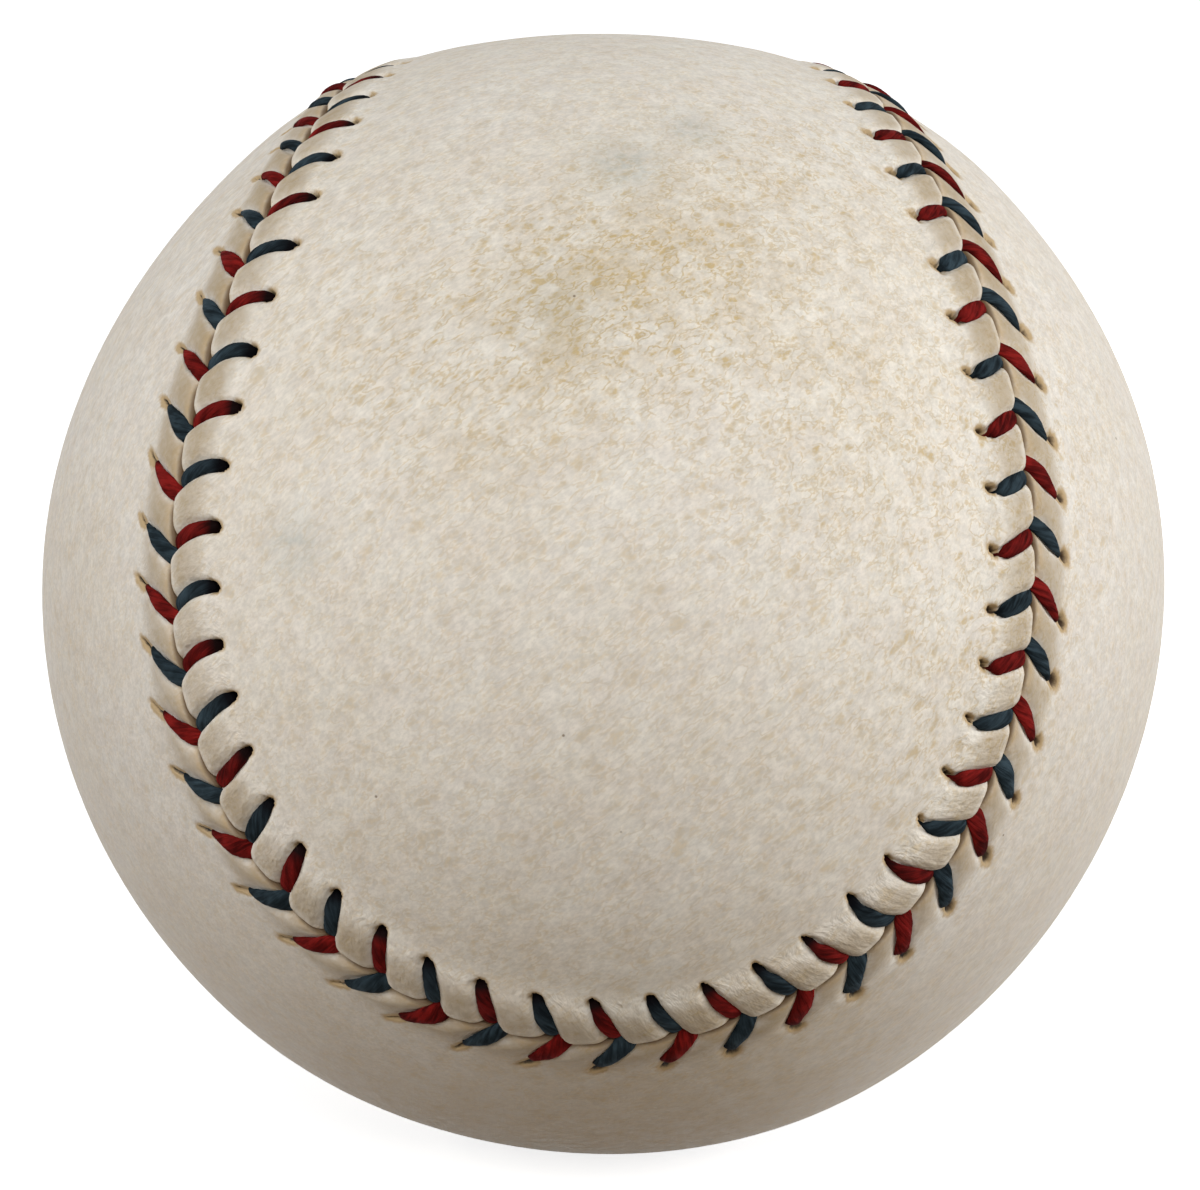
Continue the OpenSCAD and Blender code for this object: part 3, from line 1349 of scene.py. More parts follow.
@dataclass(frozen=True)
class HandlingMarks:
    """Stains, creased places and smudges on the cover, at places in millimetres."""

    stains: tuple[Patch, ...] = (
        Patch((-0.7, -27.7, 24.6), 6.5, 0.85),
        Patch((-3.1, -30.7, 20.6), 5.0, 0.60),
        Patch((4.5, -24.0, 28.0), 7.5, 0.45),
        Patch((11.3, -27.9, 21.7), 5.0, 0.45),
        Patch((-8.0, -32.9, 15.1), 4.0, 0.45),
        Patch((17.0, -28.5, 16.0), 6.0, 0.30),
        Patch((-14.0, -27.5, 20.5), 7.0, 0.30),
        Patch((14.0, -20.0, 28.0), 6.0, 0.30),
        Patch((-23.4, -10.2, 26.9), 5.0, 0.30),
        Patch((-9.0, 18.0, 31.0), 9.0, 0.45),
        Patch((20.0, 28.0, -12.0), 8.0, 0.40),
        Patch((-24.0, 22.0, -17.0), 7.0, 0.35),
        Patch((6.0, 10.0, -35.0), 9.0, 0.40),
        Patch((0.0, -24.0, -28.0), 16.0, 0.60),
        Patch((12.0, -26.0, -24.0), 9.0, 0.45),
        Patch((-33.0, -16.0, 4.0), 4.0, 0.30),
        Patch((-34.0, -14.0, -3.0), 3.0, 0.40),
    )
    creases: tuple[Patch, ...] = (
        Patch((1.0, -28.0, 24.0), 9.0, 0.60),
        Patch((-12.0, -28.0, 20.0), 8.0, 0.30),
        Patch((14.0, -31.0, 14.0), 8.0, 0.32),
        Patch((22.0, -28.0, 0.0), 9.0, 0.38),
        Patch((26.0, -22.0, 14.0), 9.0, 0.42),
        Patch((12.0, -16.0, 31.0), 8.0, 0.30),
        Patch((-10.0, 20.0, 28.0), 14.0, 0.45),
        Patch((22.0, 26.0, -10.0), 12.0, 0.40),
        Patch((-26.0, 20.0, -16.0), 12.0, 0.35),
        Patch((4.0, 8.0, -36.0), 14.0, 0.30),
    )
    smudges: tuple[Patch, ...] = (
        Patch((0.4, -20.4, 31.0), 2.4, 0.75),
        Patch((4.8, -16.6, 32.8), 1.8, 0.70),
        Patch((-19.3, -30.6, 8.2), 1.9, 0.70),
        Patch((-3.5, -28.9, 23.0), 2.6, 0.35),
        Patch((2.7, -30.5, -21.0), 3.0, 0.35),
        Patch((26.0, 20.0, 17.0), 3.0, 0.40),
        Patch((-14.0, 33.0, 8.0), 3.0, 0.35),
    )

    def on(self, points: Array) -> dict[str, Array]:
        """The stain, crease and smudge marks of points, in millimetres."""
        kinds = {"stain": self.stains, "creased": self.creases, "smudge": self.smudges}
        return {name: sum(patch.share(points) for patch in kind) for name, kind in kinds.items()}


@dataclass(frozen=True)
class LeatherPanel:
    """One figure-of-eight panel of the cover, raised and pulled by its stitches.

    Sizes are in millimetres. A rim is the two places between which a form
    comes or goes: of a bed and a dome, from a leg's line in halves of the leg's
    width, and of a pit and its torn ring, from a hole's middle in halves of it.
    """

    name: str
    node: str
    stitches: Stitches
    marks: HandlingMarks
    edge_round: float
    edge_drop: float
    welt_rise: float
    dome_rise: float
    bed_depth: float
    leg_half: float
    leg_taper: float
    raw_show: float
    raw_wide: float
    dirt: float
    dirt_reach: float
    hole_depth: float = 1.1
    scallop: Spread = Spread(0.30, low=0.225, right=-0.165)
    scallop_lead: float = 0.29
    scallop_least: float = 0.35
    scallop_end: tuple[float, float] = (0.3, 2.6)
    taper_zone: tuple[float, float] = (0.55, 1.0)
    bed_rim: tuple[float, float] = (0.75, 1.30)
    dome_rim: tuple[float, float] = (0.9, 2.3)
    dome_end: tuple[float, float] = (2.0, 3.9)
    dome_slip: float = 0.25
    pit_rim: tuple[float, float] = (0.55, 1.15)
    torn_rim: tuple[float, float] = (0.9, 1.5)
    torn_depth: float = 0.05
    welt_at: float = 1.3
    welt_wide: float = 2.1
    near: float = 0.02
    strip_wide: float = 6.2
    thinned_at: tuple[float, float] = (6.9, 8.1)
    plain_off: float = 7.0
    plain_beside: float = 3.0
    rim_under: float = -0.70
    under: float = -1.2
    under_step: tuple[float, float] = (4.1, 4.7)
    least_thick: float = 0.12
    columns: int = 18
    crowding: float = 0.42
    across_top: int = 36
    across_under: int = 12

    @property
    def seam(self) -> Seam:
        """The seam that the panel runs along."""
        return self.stitches.seam

    def rows(self) -> tuple[Array, Array, Array]:
        """The rows of the strip along the seam, from the flesh side outwards.

        The flesh side runs to the seam, a wall climbs, a quarter of an ellipse
        rounds the edge, and the grain side runs away from the seam.

        Returns:
            For each row the distance from the panel's edge, the share of the
            edge's drop, and the share of the flesh side in its height.
        """
        flesh = np.array([self.strip_wide, 4.7, 4.1, 3.6, 3.0, 1.2])
        wall = np.array([1.0, 0.66, 0.33])
        angle = np.radians([0, 15, 30, 45, 60, 75, 90])
        face = np.array([0.14, 0.30, 0.46, 0.64, 0.84, 1.06, 1.3, 1.55, 1.8, 2.05, 2.25, 2.42,
                         2.58, 2.74, 2.9, 3.05, 3.2, 3.35, 3.52, 3.72, 3.98, 4.4, 5.2])
        start = self.near + self.edge_round
        off = np.concatenate([flesh, np.full_like(wall, self.near),
                              self.near + self.edge_round * (1 - np.cos(angle)),
                              start + face * (self.strip_wide - start) / face[-1]])
        drop = np.concatenate([np.ones(len(flesh) + len(wall)), 1 - np.sin(angle),
                               np.zeros(len(face))])
        below = np.concatenate([np.ones(len(flesh)), wall, np.zeros(len(angle) + len(face))])
        return off, drop, below

    def lobe_edge(self, along: Array) -> Array:
        """How far the edge of panel A bulges over the seam between its legs.

        It rises smoothly from a third at a leg's tip to its most at a third of
        the way, beside the other panel's leg, and falls back by the next tip.

        Args:
            along: Length along the seam.

        Returns:
            Millimetres towards panel B.
        """
        plan = self.stitches
        place = np.mod(along / self.seam.pitch - self.scallop_lead, plan.count)
        share = np.mod(place, 1.0)
        bulge = smoothstep(-0.06, 0.30, share) * fade(0.30, 1.06, share)
        deep = self.scallop.over(plan)
        most = np.interp(place, np.arange(plan.count + 1), np.append(deep, deep[0]))
        return most * (self.scallop_least + (1 - self.scallop_least) * bulge)

    def near_legs(self, here: Array, along: Array, off: Array
                  ) -> tuple[Array, Array, Array, Array]:
        """What the leg before each place and the leg after it do there.

        Args:
            here: Number of the stitch before each column.
            along: Length along the seam, by row and column.
            off: Distance from the seam, by row.

        Returns:
            How much of a leg's bed there is, the distance from the nearer hole
            and from its torn ring, where 1 is the edge, and the distance from
            the nearer leg's line in halves of the leg's width.
        """
        plan = self.stitches
        bed, hole, halo, beside = 0.0, FAR, FAR, FAR
        for stitch in (here, here + 1):
            k = stitch % plan.count
            gap = np.abs(along - plan.leg(stitch, off)) * np.cos(np.arctan(plan.heading(k, off)))
            taper = smoothstep(*self.taper_zone, off / plan.reach[k]) * (1 - plan.steepness[k])
            stout = 1 + plan.sewing.stout_by * plan.stoutness[k]
            half = self.leg_half * (1 - self.leg_taper * taper) * stout
            shown = fade(plan.reach[k] - 0.2, plan.reach[k] + 0.5, off)
            bed = np.maximum(bed, fade(*self.bed_rim, gap / half) * shown)
            ahead = along - stitch * plan.pitch
            hole = np.minimum(hole, plan.holes.away(k, ahead, off))
            halo = np.minimum(halo, plan.halos.away(k, ahead, off))
            beside = np.minimum(beside, gap / half + 0.8 * (1 - shown))
        return bed, hole, halo, beside

    def strip(self) -> tuple[Array, Array, Array, dict[str, Array]]:
        """The strip along the seam, with its lobes, beds for the legs and holes.

        Columns run from one leg to the next, closer together at the legs. Height
        is a low welt, plus a dome that rises from the sides of the legs, less a
        flat bed under each leg, less a shallow torn ring and an oval pit at each
        hole, less the edge's drop.

        Returns:
            Length along the seam, distance off it, height and marks, by row
            and column.
        """
        plan = self.stitches
        off, drop, below = (values[:, None] for values in self.rows())
        column = np.arange(plan.count * self.columns)
        here = column // self.columns
        step = (column % self.columns) / self.columns
        share = step - self.crowding * np.sin(TAU * step) / TAU
        first, last = plan.leg(here, off), plan.leg(here + 1, off)
        along = first + share * (last - first)
        bed, hole, halo, beside = self.near_legs(here, along, off)
        dome = smoothstep(*self.dome_rim, beside) * fade(*self.dome_end, off)
        dome = dome * (1 + self.dome_slip * plan.draws["lift"][here])
        pit = fade(*self.pit_rim, hole)
        top = self.welt_rise * bell(off - self.welt_at, self.welt_wide)
        top = top + self.dome_rise * dome - self.bed_depth * bed
        top = top - self.torn_depth * fade(*self.torn_rim, halo) * (1 - pit)
        top = np.maximum(top - drop * self.edge_drop, self.rim_under + 0.05)
        top = top - self.hole_depth * pit
        flesh = self.rim_under
        flesh = flesh + (self.under - self.rim_under) * smoothstep(*self.under_step, off)
        flesh = np.minimum(flesh, top - self.least_thick)
        high = 1 + 0.6 * smoothstep(0.10, 0.45, plan.out[here, 2])
        dirt = self.dirt * high * (1 + 0.45 * plan.draws["grime"][here])
        dirty = smoothstep(0.1, 0.9, off) * fade(1.1, self.dirt_reach, off)
        marks = {
            "off": off,
            "beside": beside,
            "hole": hole,
            "halo": halo,
            "edge": self.raw_show * fade(0.3 * self.raw_wide, self.raw_wide, off),
            # How brown the painted shade in the holes is, more to the right of the ball.
            "brown": 0.7 * plan.rightness[here],
            "grime": dirt * smoothstep(0.9, 2.2, beside) * dirty,
        }
        bulge = self.lobe_edge(along) * fade(*self.scallop_end, off)
        shifted = off - plan.side.value * bulge
        return along, shifted, (1 - below) * top + below * flesh, marks

    def thin_out(self, surface: Surface, ring: Array, along: Array, off: float,
                 height: float, outward: bool) -> tuple[Array, Array]:
        """Joins a ring to one with half as many points, farther from the seam.

        Args:
            surface: Where the points and faces go.
            ring: Numbers of the ring's points.
            along: Their lengths along the seam.
            off: Distance of the new ring from the seam.
            height: Its height.
            outward: Whether the faces look away from the ball's centre.

        Returns:
            Numbers of the new ring's points, and their lengths.
        """
        kept = along[::2]
        points = self.points_at(kept, np.full(len(kept), off), np.full(len(kept), height))
        fresh = surface.add_points(points, self.plain_marks(points))
        a, b, c = ring[::2], ring[1::2], np.roll(ring, -2)[::2]
        following = np.roll(fresh, -1)
        for corners in ((a, b, fresh), (b, following, fresh), (b, c, following)):
            surface.add_faces(np.stack(corners, -1), outward)
        return fresh, kept

    def points_at(self, along: Array, off: Array, height: Array) -> Array:
        """Points on this panel's side of the seam."""
        return self.seam.place(along, self.stitches.side.value * off, height)

    def plain_marks(self, points: Array) -> dict[str, Array]:
        """Marks away from the stitches, where only handling shows.

        Args:
            points: The points, in millimetres.

        Returns:
            The value of each mark for each point.
        """
        calm = np.zeros(points.shape[:-1])
        marks = {"off": calm + self.plain_off, "beside": calm + self.plain_beside,
                 "hole": calm + FAR, "halo": calm + FAR, "edge": calm, "brown": calm,
                 "grime": calm}
        return marks | self.marks.on(points)

    def ladder(self, surface: Surface, ring: Array, across: int, height: float,
               outward: bool) -> None:
        """Fills a ring with rungs that run from one side of it to the other.

        A rung is the great circle between two points of the ring that face
        each other, in equal steps of angle.

        Args:
            surface: Where the points and faces go.
            ring: Numbers of the ring's points.
            across: Steps along a rung.
            height: Height over the plain radius.
            outward: Whether the faces look away from the ball's centre.
        """
        start = len(ring) // 4 if self.stitches.side is Side.A else 0
        rung = np.arange(1, len(ring) // 2)
        left, right = ring[(start - rung) % len(ring)], ring[(start + rung) % len(ring)]
        ways = unit(np.concatenate(surface.points))
        one, two = ways[left][:, None], ways[right][:, None]
        angle = np.arccos(np.clip((one * two).sum(-1, keepdims=True), -1, 1))
        share = (np.arange(1, across) / across)[None, :, None]
        way = (one * np.sin((1 - share) * angle) + two * np.sin(share * angle)) / np.sin(angle)
        radius = self.seam.ball_radius + height + self.seam.lumps(way)
        points = way * radius[..., None]
        inner = surface.add_points(points, self.plain_marks(points))
        grid = np.concatenate([left[:, None], inner, right[:, None]], axis=1)
        quads = np.stack([grid[:-1, :-1], grid[1:, :-1], grid[1:, 1:], grid[:-1, 1:]], -1)
        surface.add_faces(quads.reshape(-1, 4), outward)
        far = ring[(start + len(ring) // 2) % len(ring)]
        for tip, row in ((ring[start], grid[0]), (far, grid[-1])):
            fan = np.stack([np.full(across, tip), row[:-1], row[1:]], -1)
            surface.add_faces(fan, outward)

    def build(self, material: bpy.types.Material) -> bpy.types.Object:
        """Makes the panel and says which node it stands for.

        Args:
            material: The leather.

        Returns:
            The piece.
        """
        surface = Surface()
        along, off, height, marks = self.strip()
        points = self.points_at(along, off, height)
        grid = surface.add_points(points, marks | self.marks.on(points))
        step = np.roll(grid, -1, axis=1)
        quads = np.stack([grid[:-1], step[:-1], step[1:], grid[1:]], -1).reshape(-1, 4)
        surface.add_faces(quads if self.stitches.side is Side.A else quads[:, ::-1], True)
        for ring, length, level, across, outward in (
                (grid[-1], along[-1], 0.0, self.across_top, True),
                (grid[0], along[0], self.under, self.across_under, False)):
            for away in self.thinned_at:
                ring, length = self.thin_out(surface, ring, length, away, level, outward)
            self.ladder(surface, ring, across, level, outward)
        piece = surface.make(self.name, material)
        return dress(piece, self.node)


@dataclass(frozen=True)
class LegRow:
    """One place along a stitch: where the thread is and how thick it is there.

    Share is the part of the way from the seam to the leg's hole.
    """

    share: float
    height: float
    width: float
    thickness: float
    rings: int

    def towards(self, other: "LegRow", part: float) -> "LegRow":
        """The row that lies a part of the way from this one to another.

        Args:
            other: The other row.
            part: The part of the way, from 0 to 1.

        Returns:
            The row between, with the rings of this one.
        """
        return LegRow(self.share + part * (other.share - self.share),
                      self.height + part * (other.height - self.height),
                      self.width + part * (other.width - self.width),
                      self.thickness + part * (other.thickness - self.thickness), self.rings)


LEG_ON_A = (
    LegRow(1.01, -1.00, 0.60, 0.44, 1),
    LegRow(0.99, -0.46, 0.74, 0.46, 2),
    LegRow(0.92, -0.10, 0.88, 0.48, 2),
    LegRow(0.78, 0.10, 0.94, 0.50, 3),
    LegRow(0.58, 0.22, 0.96, 0.52, 3),
    LegRow(0.36, 0.24, 0.94, 0.52, 3),
    LegRow(0.14, 0.16, 0.86, 0.48, 3),
    LegRow(-0.03, -0.16, 0.76, 0.40, 2),
    LegRow(-0.11, -0.58, 0.62, 0.40, 1),
)
NECKED_LEG_ON_A = (
    LegRow(1.01, -1.00, 0.30, 0.34, 1),
    LegRow(0.985, -0.40, 0.30, 0.34, 2),
    LegRow(0.92, -0.06, 0.44, 0.38, 2),
    LegRow(0.86, 0.14, 0.92, 0.46, 3),
    LegRow(0.62, 0.26, 1.08, 0.52, 3),
    LegRow(0.36, 0.26, 1.08, 0.52, 3),
    LegRow(0.14, 0.16, 0.98, 0.48, 3),
    LegRow(-0.04, -0.14, 0.84, 0.40, 2),
    LegRow(-0.13, -0.58, 0.66, 0.40, 1),
)
LEG_ON_B = (
    LegRow(1.06, -1.00, 0.26, 0.30, 1),
    LegRow(1.03, -0.40, 0.26, 0.30, 2),
    LegRow(0.95, 0.00, 0.30, 0.36, 2),
    LegRow(0.80, 0.18, 0.56, 0.46, 3),
    LegRow(0.61, 0.30, 0.88, 0.50, 3),
    LegRow(0.41, 0.32, 1.08, 0.52, 3),
    LegRow(0.22, 0.18, 1.14, 0.50, 3),
    LegRow(0.08, -0.04, 1.04, 0.46, 2),
    LegRow(-0.06, -0.46, 0.96, 0.42, 1),
)
BLUNT_LEG_ON_B = (
    LegRow(1.10, -1.00, 0.70, 0.42, 1),
    LegRow(1.07, -0.40, 0.80, 0.44, 2),
    LegRow(0.98, 0.00, 0.92, 0.48, 2),
    LegRow(0.80, 0.18, 0.96, 0.50, 3),
    LegRow(0.61, 0.30, 1.00, 0.52, 3),
    LegRow(0.41, 0.32, 1.02, 0.52, 3),
    LegRow(0.22, 0.18, 1.06, 0.50, 3),
    LegRow(0.08, -0.04, 1.02, 0.46, 2),
    LegRow(-0.06, -0.46, 0.94, 0.42, 1),
)


@dataclass(frozen=True)
class LegForm:
    """The legs on one panel: their rows, and how these change round the ball.

    A leg goes from its plain rows to its changed ones. Thin makes it narrower
    and full wider and prouder, and slim narrows its outer end. Sink is the part
    of its reach by its hole that is darkened with painted shade, the shade share
    sets how dark, and the outer-half share paints shade over its outer half.
    """

    plain: tuple[LegRow, ...]
    changed: tuple[LegRow, ...]
    change: Spread
    thin: Spread
    sink: Spread
    thread_shade: Spread
    outer_shade: Spread = Spread()
    slim: Spread = Spread()
    full: Spread = Spread()

    def measures(self, plan: Stitches) -> dict[str, Array]:
        """Works out how the legs change.

        Args:
            plan: The stitches on the panel.

        Returns:
            Each change at each stitch, by name.
        """
        named = {name: getattr(self, name).over(plan)
                 for name in ("change", "thin", "sink", "thread_shade", "outer_shade", "slim", "full")}
        return named | {"stout": plan.sewing.stout_by * plan.stoutness, "reach": plan.reach}


# The shade shares are painted shade on the legs by their holes and, on panel A, over their outer
# halves.
LEG_FORMS = {
    Side.A: LegForm(LEG_ON_A, NECKED_LEG_ON_A, Spread(right=1.0), thin=Spread(top=0.18),
                    sink=Spread(0.32, right=-0.16), thread_shade=Spread(1.0, right=-0.5),
                    outer_shade=Spread(0.45, right=-0.45), slim=Spread(steep=0.32)),
    Side.B: LegForm(LEG_ON_B, BLUNT_LEG_ON_B, Spread(steep=1.0), thin=Spread(top=0.30),
                    sink=Spread(0.12), thread_shade=Spread(0.7), full=Spread(full=1.0)),
}


@dataclass(frozen=True)
class SewingThread:
    """One thread, sewn round the whole seam in a single closed run."""

    name: str
    node: str
    slot: str
    first: Side
    plans: dict[Side, Stitches]
    sides: int = 24
    twist: float = 1.1
    ply: float = 0.07
    strand: float = 0.035
    width_slip: float = 0.09
    thick_slip: float = 0.10
    lift_slip: float = 0.05
    full_wide: float = 0.12
    full_lift: float = 0.05
    under_off: tuple[float, float] = (0.6, 2.1)
    under_ahead: float = 0.15
    under_height: float = -1.0
    under_wide: float = 0.8
    under_thick: float = 0.45

    @property
    def seam(self) -> Seam:
        """The seam that the thread runs along."""
        return self.plans[Side.A].seam

    def leg(self, number: int, side: Side, here: dict[str, float]) -> list[tuple[float, ...]]:
        """The knots of one leg, from its hole to the seam.

        Args:
            number: Number of the stitch.
            side: The panel that the leg lies on.
            here: The changes of the leg's form, its tone, and its slips, whose
                names begin with slip.

        Returns:
            The knots, as knots() gives them.
        """
        plan, form = self.plans[side], LEG_FORMS[side]
        wide = 1 + self.width_slip * here["slip width"]
        wide = wide * (1 - here["thin"]) * (1 + here["stout"]) * (1 + self.full_wide * here["full"])
        thick = 1 + self.thick_slip * here["slip thick"]
        lift = self.lift_slip * here["slip lift"] + self.full_lift * here["full"]
        hole_from, hole_to = 1 - here["sink"], 1 - 0.3 * here["sink"]
        found = []
        for plain, changed in zip(form.plain, form.changed):
            row = plain.towards(changed, here["change"])
            k, off = np.array([number]), np.array([row.share * here["reach"]])
            lean = math.atan(float(plan.heading(k, off)[0]))
            slim = 1 - here["slim"] if row.share > 0.7 else 1.0
            # Painted shade: the leg darkens towards its hole, and on panel A over its outer half;
            # on panel A both are strongest on the left of the ball.
            thread_shade = here["thread_shade"] * float(smoothstep(hole_from, hole_to, row.share))
            thread_shade = max(thread_shade, here["outer_shade"] * float(smoothstep(0.35, 0.75, row.share)))
            proud = lift if 0.1 < row.share < 0.9 else 0.0
            found.append((float(plan.leg(k, off)[0]), side.value * float(off[0]),
                          row.height + proud, row.width * wide * slim, row.thickness * thick,
                          -side.value * lean, here["tone"], thread_shade))
        return found

    def knots(self) -> tuple[Array, Array]:
        """The rows of every stitch, in order round the ball.

        Returns:
            For each row the length along the seam, the distance off it, the
            height, the width, the thickness, the lean of the width across the
            seam, the tone and how much painted shade darkens the row; and the
            number of rings from each row to the next.
        """
        rows, rings = [], []
        changes = {side: LEG_FORMS[side].measures(plan) for side, plan in self.plans.items()}
        for number in range(self.seam.stitch_count):
            side = self.first if number % 2 == 0 else self.first.other
            plan = self.plans[side]
            here = {name: float(values[number]) for name, values in changes[side].items()}
            here |= {"slip " + name: float(values[number])
                     for name, values in plan.draws.items()}
            here["tone"] = 0.5 + 0.5 * here["slip tone"]
            rows += self.leg(number, side, here)
            rings += [row.rings for row in LEG_FORMS[side].plain]
            tip = float(plan.leg(np.array([number]), np.array([0.0]))[0])
            # The hidden runs under the leather are darkened fully with painted shade.
            for off in self.under_off:
                rows.append((tip + self.under_ahead * off, -side.value * off,
                             self.under_height, self.under_wide, self.under_thick, 0.0,
                             here["tone"], 1.0))
                rings.append(1)
        return np.array(rows), np.array(rings)

    def rings(self) -> Array:
        """The knots with rings between them, on a Catmull-Rom curve.

        Returns:
            A row for each ring, with what knots() gives for a knot.
        """
        knots, repeats = self.knots()
        lap = np.zeros(knots.shape[1])
        lap[0] = self.seam.length
        held = np.concatenate([knots[-1:] - lap, knots, knots[:2] + lap])
        index = np.repeat(np.arange(len(knots)), repeats)
        starts = np.concatenate([[0], np.cumsum(repeats)[:-1]])
        t = ((np.arange(len(index)) - starts[index]) / repeats[index])[:, None]
        a, b, c, d = (held[index + shift] for shift in range(4))
        parts = 2 * b + (c - a) * t + (2 * a - 5 * b + 4 * c - d) * t ** 2
        return 0.5 * (parts + (3 * b - a - 3 * c + d) * t ** 3)

    def build(self, material: bpy.types.Material) -> bpy.types.Object:
        """Makes the thread and says which node it stands for.

        A ring is an ellipse, a little fuller where one of its two plies or one
        of their strands lies, and these turn slowly along the thread.

        Args:
            material: The thread's finish.

        Returns:
            The piece.
        """
        along, off, height, width, thick, lean, tone, thread_shade = self.rings().T
        centre = self.seam.place(along, off, height)
        out, ahead, across = self.seam.axes(along)
        flat = ahead * np.cos(lean)[:, None] + across * np.sin(lean)[:, None]
        way = unit(np.roll(centre, -1, axis=0) - np.roll(centre, 1, axis=0))
        up = unit(np.cross(way, flat))
        wide = np.cross(up, way)
        length = np.concatenate([[0], np.cumsum(
            np.linalg.norm(np.diff(centre, axis=0), axis=1))])
        angle = TAU * (np.arange(self.sides) + 0.5) / self.sides
        turned = angle[None] + self.twist * length[:, None]
        full = 1 + self.ply * np.cos(2 * turned) + self.strand * np.cos(7 * turned)
        x = np.cos(angle)[None] * width[:, None] / 2 * full
        y = np.sin(angle)[None] * thick[:, None] / 2 * full
        points = centre[:, None] + wide[:, None] * x[..., None] + up[:, None] * y[..., None]
        round_by = (width + thick)[:, None] / 4
        lay = np.stack([np.broadcast_to(length[:, None], turned.shape),
                        round_by * np.cos(turned), round_by * np.sin(turned)], -1)
        spread = np.ones(turned.shape)
        surface = Surface()
        grid = surface.add_points(points, {
            "lay": lay, "tone": tone[:, None] * spread, "thread_shade": thread_shade[:, None] * spread})
        after, beside = np.roll(grid, -1, axis=0), np.roll(grid, -1, axis=1)
        both = np.roll(after, -1, axis=1)
        surface.quads.append(np.stack([grid, beside, both, after], -1).reshape(-1, 4))
        return dress(surface.make(self.name, material), self.node)


def dress(piece: bpy.types.Object, node: str) -> bpy.types.Object:
    """Ties a piece to its body and the node it stands for.

    Args:
        piece: The piece.
        node: The CAD node.

    Returns:
        The piece.
    """
    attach(piece, "root")
    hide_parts(node)
    log.info("%s: %d faces, for %s", piece.name, len(piece.data.polygons), node)
    return piece


@dataclass(frozen=True)
class BallInside:
    """The windings and the cushioned centre, which keep their CAD solids."""

    def build(self, groups: Groups) -> None:
        """Gives each CAD node that stays its own finish.

        Args:
            groups: The shared node groups.
        """
        grey = YarnFinish("grey_wool", yarn=(0.34, 0.33, 0.32), between=(0.10, 0.10, 0.10),
                          thickness=0.0011)
        white = YarnFinish("white_wool", yarn=(0.72, 0.70, 0.65), between=(0.28, 0.27, 0.24),
                           thickness=0.0010)
        cotton = YarnFinish("cotton_yarn", yarn=(0.74, 0.70, 0.60), between=(0.30, 0.27, 0.21),
                            thickness=0.0004)
        black = MouldedFinish("black_rubber", body=(0.028, 0.028, 0.030),
                              bloom=(0.060, 0.058, 0.056), crumb=(0.015, 0.015, 0.015),
                              roughness=0.62)
        red = MouldedFinish("red_rubber", body=(0.400, 0.050, 0.040),
                            bloom=(0.480, 0.110, 0.090), crumb=(0.280, 0.030, 0.025),
                            roughness=0.58)
        cork = MouldedFinish("cork_crumb", body=(0.420, 0.270, 0.150),
                             bloom=(0.560, 0.390, 0.230), crumb=(0.190, 0.110, 0.055),
                             roughness=0.85, crumb_spacing=0.0016, crumb_share=0.45)
        nodes = {
            "cork_core": cork, "black_rubber_half_a": black, "black_rubber_half_b": black,
            "rubber_washer": red, "red_rubber_cover": red, "wool_winding_inner": grey,
            "wool_winding_middle": white, "wool_winding_outer": grey, "cotton_winding": cotton,
        }
        made: dict[str, bpy.types.Material] = {}
        for node, finish in nodes.items():
            if finish.name not in made:
                made[finish.name] = finish.build(groups)
            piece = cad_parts[node]
            piece.data.materials.clear()
            piece.data.materials.append(made[finish.name])
            log.info("%s: finished as %s", node, finish.name)


@dataclass(frozen=True)
class Lamp:
    """A square soft lamp that looks at the ball."""

    name: str
    azimuth: float
    elevation: float
    power: float
    distance: float = 1.6
    size: float = 1.2

    def build(self) -> None:
        """Adds the lamp, azimuth degrees round from the camera's side to +X."""
        turn, rise = math.radians(self.azimuth), math.radians(self.elevation)
        way = Vector((math.cos(rise) * math.sin(turn), -math.cos(rise) * math.cos(turn),
                      math.sin(rise)))
        data = bpy.data.lights.new(self.name, "AREA")
        data.size = self.size
        data.energy = self.power
        lamp = bpy.data.objects.new(self.name, data)
        lamp.location = way * self.distance
        lamp.rotation_euler = way.to_track_quat("Z", "Y").to_euler()
        lamp.visible_camera = False
        bpy.context.scene.collection.objects.link(lamp)


def is_seen(desk: Desk) -> Socket:
    """Tells the rays that show the background: camera, glossy and transmission.

    Args:
        desk: The desk of the material or world.

    Returns:
        1 for such a ray and 0 for another.
    """
    path = desk.add("LightPath").outputs
    seen = desk.math("MAXIMUM", path["Is Camera Ray"], path["Is Glossy Ray"])
    return desk.math("MAXIMUM", seen, path["Is Transmission Ray"])


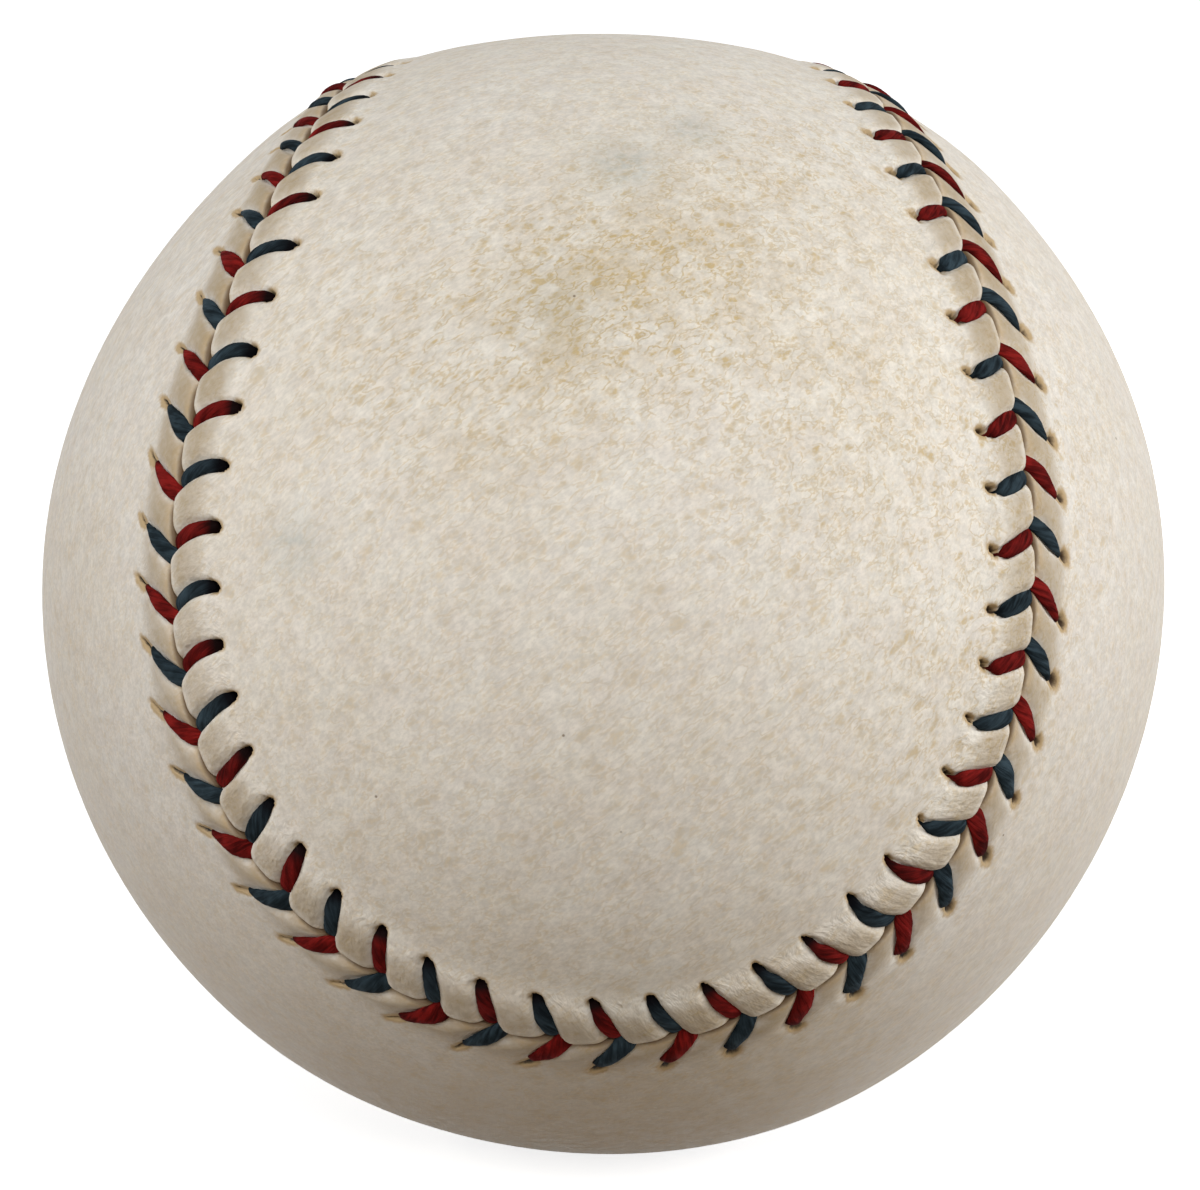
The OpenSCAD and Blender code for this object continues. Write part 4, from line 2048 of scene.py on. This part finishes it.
@dataclass(frozen=True)
class Studio:
    """The pale floor, the soft lamps and the camera of the photograph."""

    floor_size: float = 6.0
    floor_colour: Colour = (0.20, 0.145, 0.088)
    floor_shown: Colour = (0.80, 0.80, 0.80)
    floor_glow: float = 0.80
    world_light: float = 0.02
    lamps: tuple[Lamp, ...] = (
        Lamp("left_lamp", -80, 10, 15.8),
        Lamp("front_lamp", 0, 37, 19.2),
        Lamp("right_lamp", 86, 10, 25.0),
        Lamp("back_lamp", 180, 35, 2.0),
    )
    towards: tuple[float, float, float] = (-0.00606, -0.98233, 0.18707)
    upright: tuple[float, float, float] = (-0.02607, 0.18717, 0.98198)
    distance: float = 0.4452
    lens: float = 201.8
    sensor: float = 36.0
    picture_width: int = 1200
    ball_right_px: float = 3.8
    ball_up_px: float = 5.4

    def build_floor(self, level: float) -> None:
        """Lays the floor.

        Args:
            level: Its height, in metres.
        """
        half = self.floor_size / 2
        square = ((-half, -half), (half, -half), (half, half), (-half, half))
        corners = [(x, y, level) for x, y in square]
        mesh = bpy.data.meshes.new("floor")
        mesh.from_pydata(corners, [], [(0, 1, 2, 3)])
        material = bpy.data.materials.new("floor_paint")
        desk = clear_desk(material)
        dull = desk.add("BsdfDiffuse", None, {"Color": self.floor_colour})
        pale = desk.add("BsdfDiffuse", None, {"Color": self.floor_shown})
        glow = desk.add("Emission", None, {"Strength": self.floor_glow})
        shown = desk.add("AddShader", None, {0: pale.outputs[0], 1: glow.outputs[0]})
        both = desk.add("MixShader", None, {
            0: is_seen(desk), 1: dull.outputs[0], 2: shown.outputs[0]})
        desk.feed(desk.add("OutputMaterial").inputs["Surface"], both.outputs[0])
        mesh.materials.append(material)
        floor = bpy.data.objects.new("floor", mesh)
        bpy.context.scene.collection.objects.link(floor)

    def build_world(self) -> None:
        """Sets a plain grey light all round, and white where it is seen."""
        world = bpy.data.worlds.new("studio_world")
        desk = clear_desk(world)
        grey = desk.add("Background", None, {"Color": WHITE, "Strength": self.world_light})
        white = desk.add("Background", None, {"Color": WHITE, "Strength": 1.0})
        both = desk.add("MixShader", None, {
            0: is_seen(desk), 1: grey.outputs[0], 2: white.outputs[0]})
        desk.feed(desk.add("OutputWorld").inputs["Surface"], both.outputs[0])
        bpy.context.scene.world = world

    def build_camera(self) -> None:
        """Sets the camera of the photograph."""
        back = Vector(self.towards).normalized()
        right = Vector(self.upright).cross(back).normalized()
        up = back.cross(right)
        data = bpy.data.cameras.new("camera")
        data.lens = self.lens
        data.sensor_width = self.sensor
        data.shift_x = -self.ball_right_px / self.picture_width
        data.shift_y = -self.ball_up_px / self.picture_width
        camera = bpy.data.objects.new("camera", data)
        turn = Matrix((right, up, back)).transposed()
        camera.matrix_world = Matrix.Translation(back * self.distance) @ turn.to_4x4()
        bpy.context.scene.collection.objects.link(camera)
        bpy.context.scene.camera = camera

    def build(self, level: float) -> None:
        """Builds the whole studio around the ball.

        Args:
            level: Height of the floor, in metres.
        """
        self.build_camera()
        self.build_world()
        self.build_floor(level)
        for lamp in self.lamps:
            lamp.build()
        bpy.context.scene.view_settings.view_transform = "Standard"


def ball_radius() -> float:
    """Radius of the leather in millimetres, from the box of the two panels."""
    corners = [corner for node in ("cover_panel_a", "cover_panel_b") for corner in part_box(node)]
    return round(max(abs(value) for corner in corners for value in corner) / MM, 2)


def main() -> None:
    """Builds the ball, its finishes and the studio, in that order."""
    logging.basicConfig(level=logging.INFO, format="%(name)s: %(message)s")
    groups = Groups()
    seam = Seam(ball_radius())
    log.info("leather radius %.2f mm, seam %.1f mm", seam.ball_radius, seam.length)
    plans = {side: Stitches(seam, side) for side in Side}
    marks = HandlingMarks()
    leathers = {
        Side.A: LeatherFinish("leather_a"),
        # Panel B takes dirt and painted shade in the gap by panel A's edge.
        Side.B: LeatherFinish("leather_b", cream=(0.772, 0.738, 0.680), crease_share=0.34,
                              relief=0.00005, gap_dirt_and_shade_share=0.95),
    }
    # Each thread's third colour is its painted shade by the holes.
    red = ThreadFinish("red_cotton", dark=(0.030, 0.002, 0.002), light=(0.235, 0.012, 0.010),
                       thread_shade=(0.006, 0.002, 0.002))
    blue = ThreadFinish("blue_cotton", dark=(0.005, 0.008, 0.010), light=(0.037, 0.060, 0.076),
                        thread_shade=(0.002, 0.002, 0.003))
    pieces = [
        LeatherPanel("leather_panel_a", "cover_panel_a", plans[Side.A], marks,
                     edge_round=0.13, edge_drop=0.26, welt_rise=0.30, dome_rise=0.22,
                     bed_depth=0.26, leg_half=0.46, leg_taper=0.0, raw_show=1.00,
                     raw_wide=0.20, dirt=0.72, dirt_reach=3.0).build(
            leathers[Side.A].build(groups)),
        LeatherPanel("leather_panel_b", "cover_panel_b", plans[Side.B], marks,
                     edge_round=0.26, edge_drop=0.22, welt_rise=0.26, dome_rise=0.18,
                     bed_depth=0.18, leg_half=0.52, leg_taper=0.55, raw_show=0.75,
                     raw_wide=1.10, dirt=0.92, dirt_reach=3.8, hole_depth=0.6).build(
            leathers[Side.B].build(groups)),
        SewingThread("red_sewing_thread", "red_thread", "red_thread", Side.B, plans).build(
            red.build(groups)),
        SewingThread("blue_sewing_thread", "blue_thread", "blue_thread", Side.A, plans).build(
            blue.build(groups)),
    ]
    BallInside().build(groups)
    lowest = min(corner[2] for piece in pieces for corner in piece.bound_box)
    Studio().build(lowest)


if __name__ == "__main__":
    main()
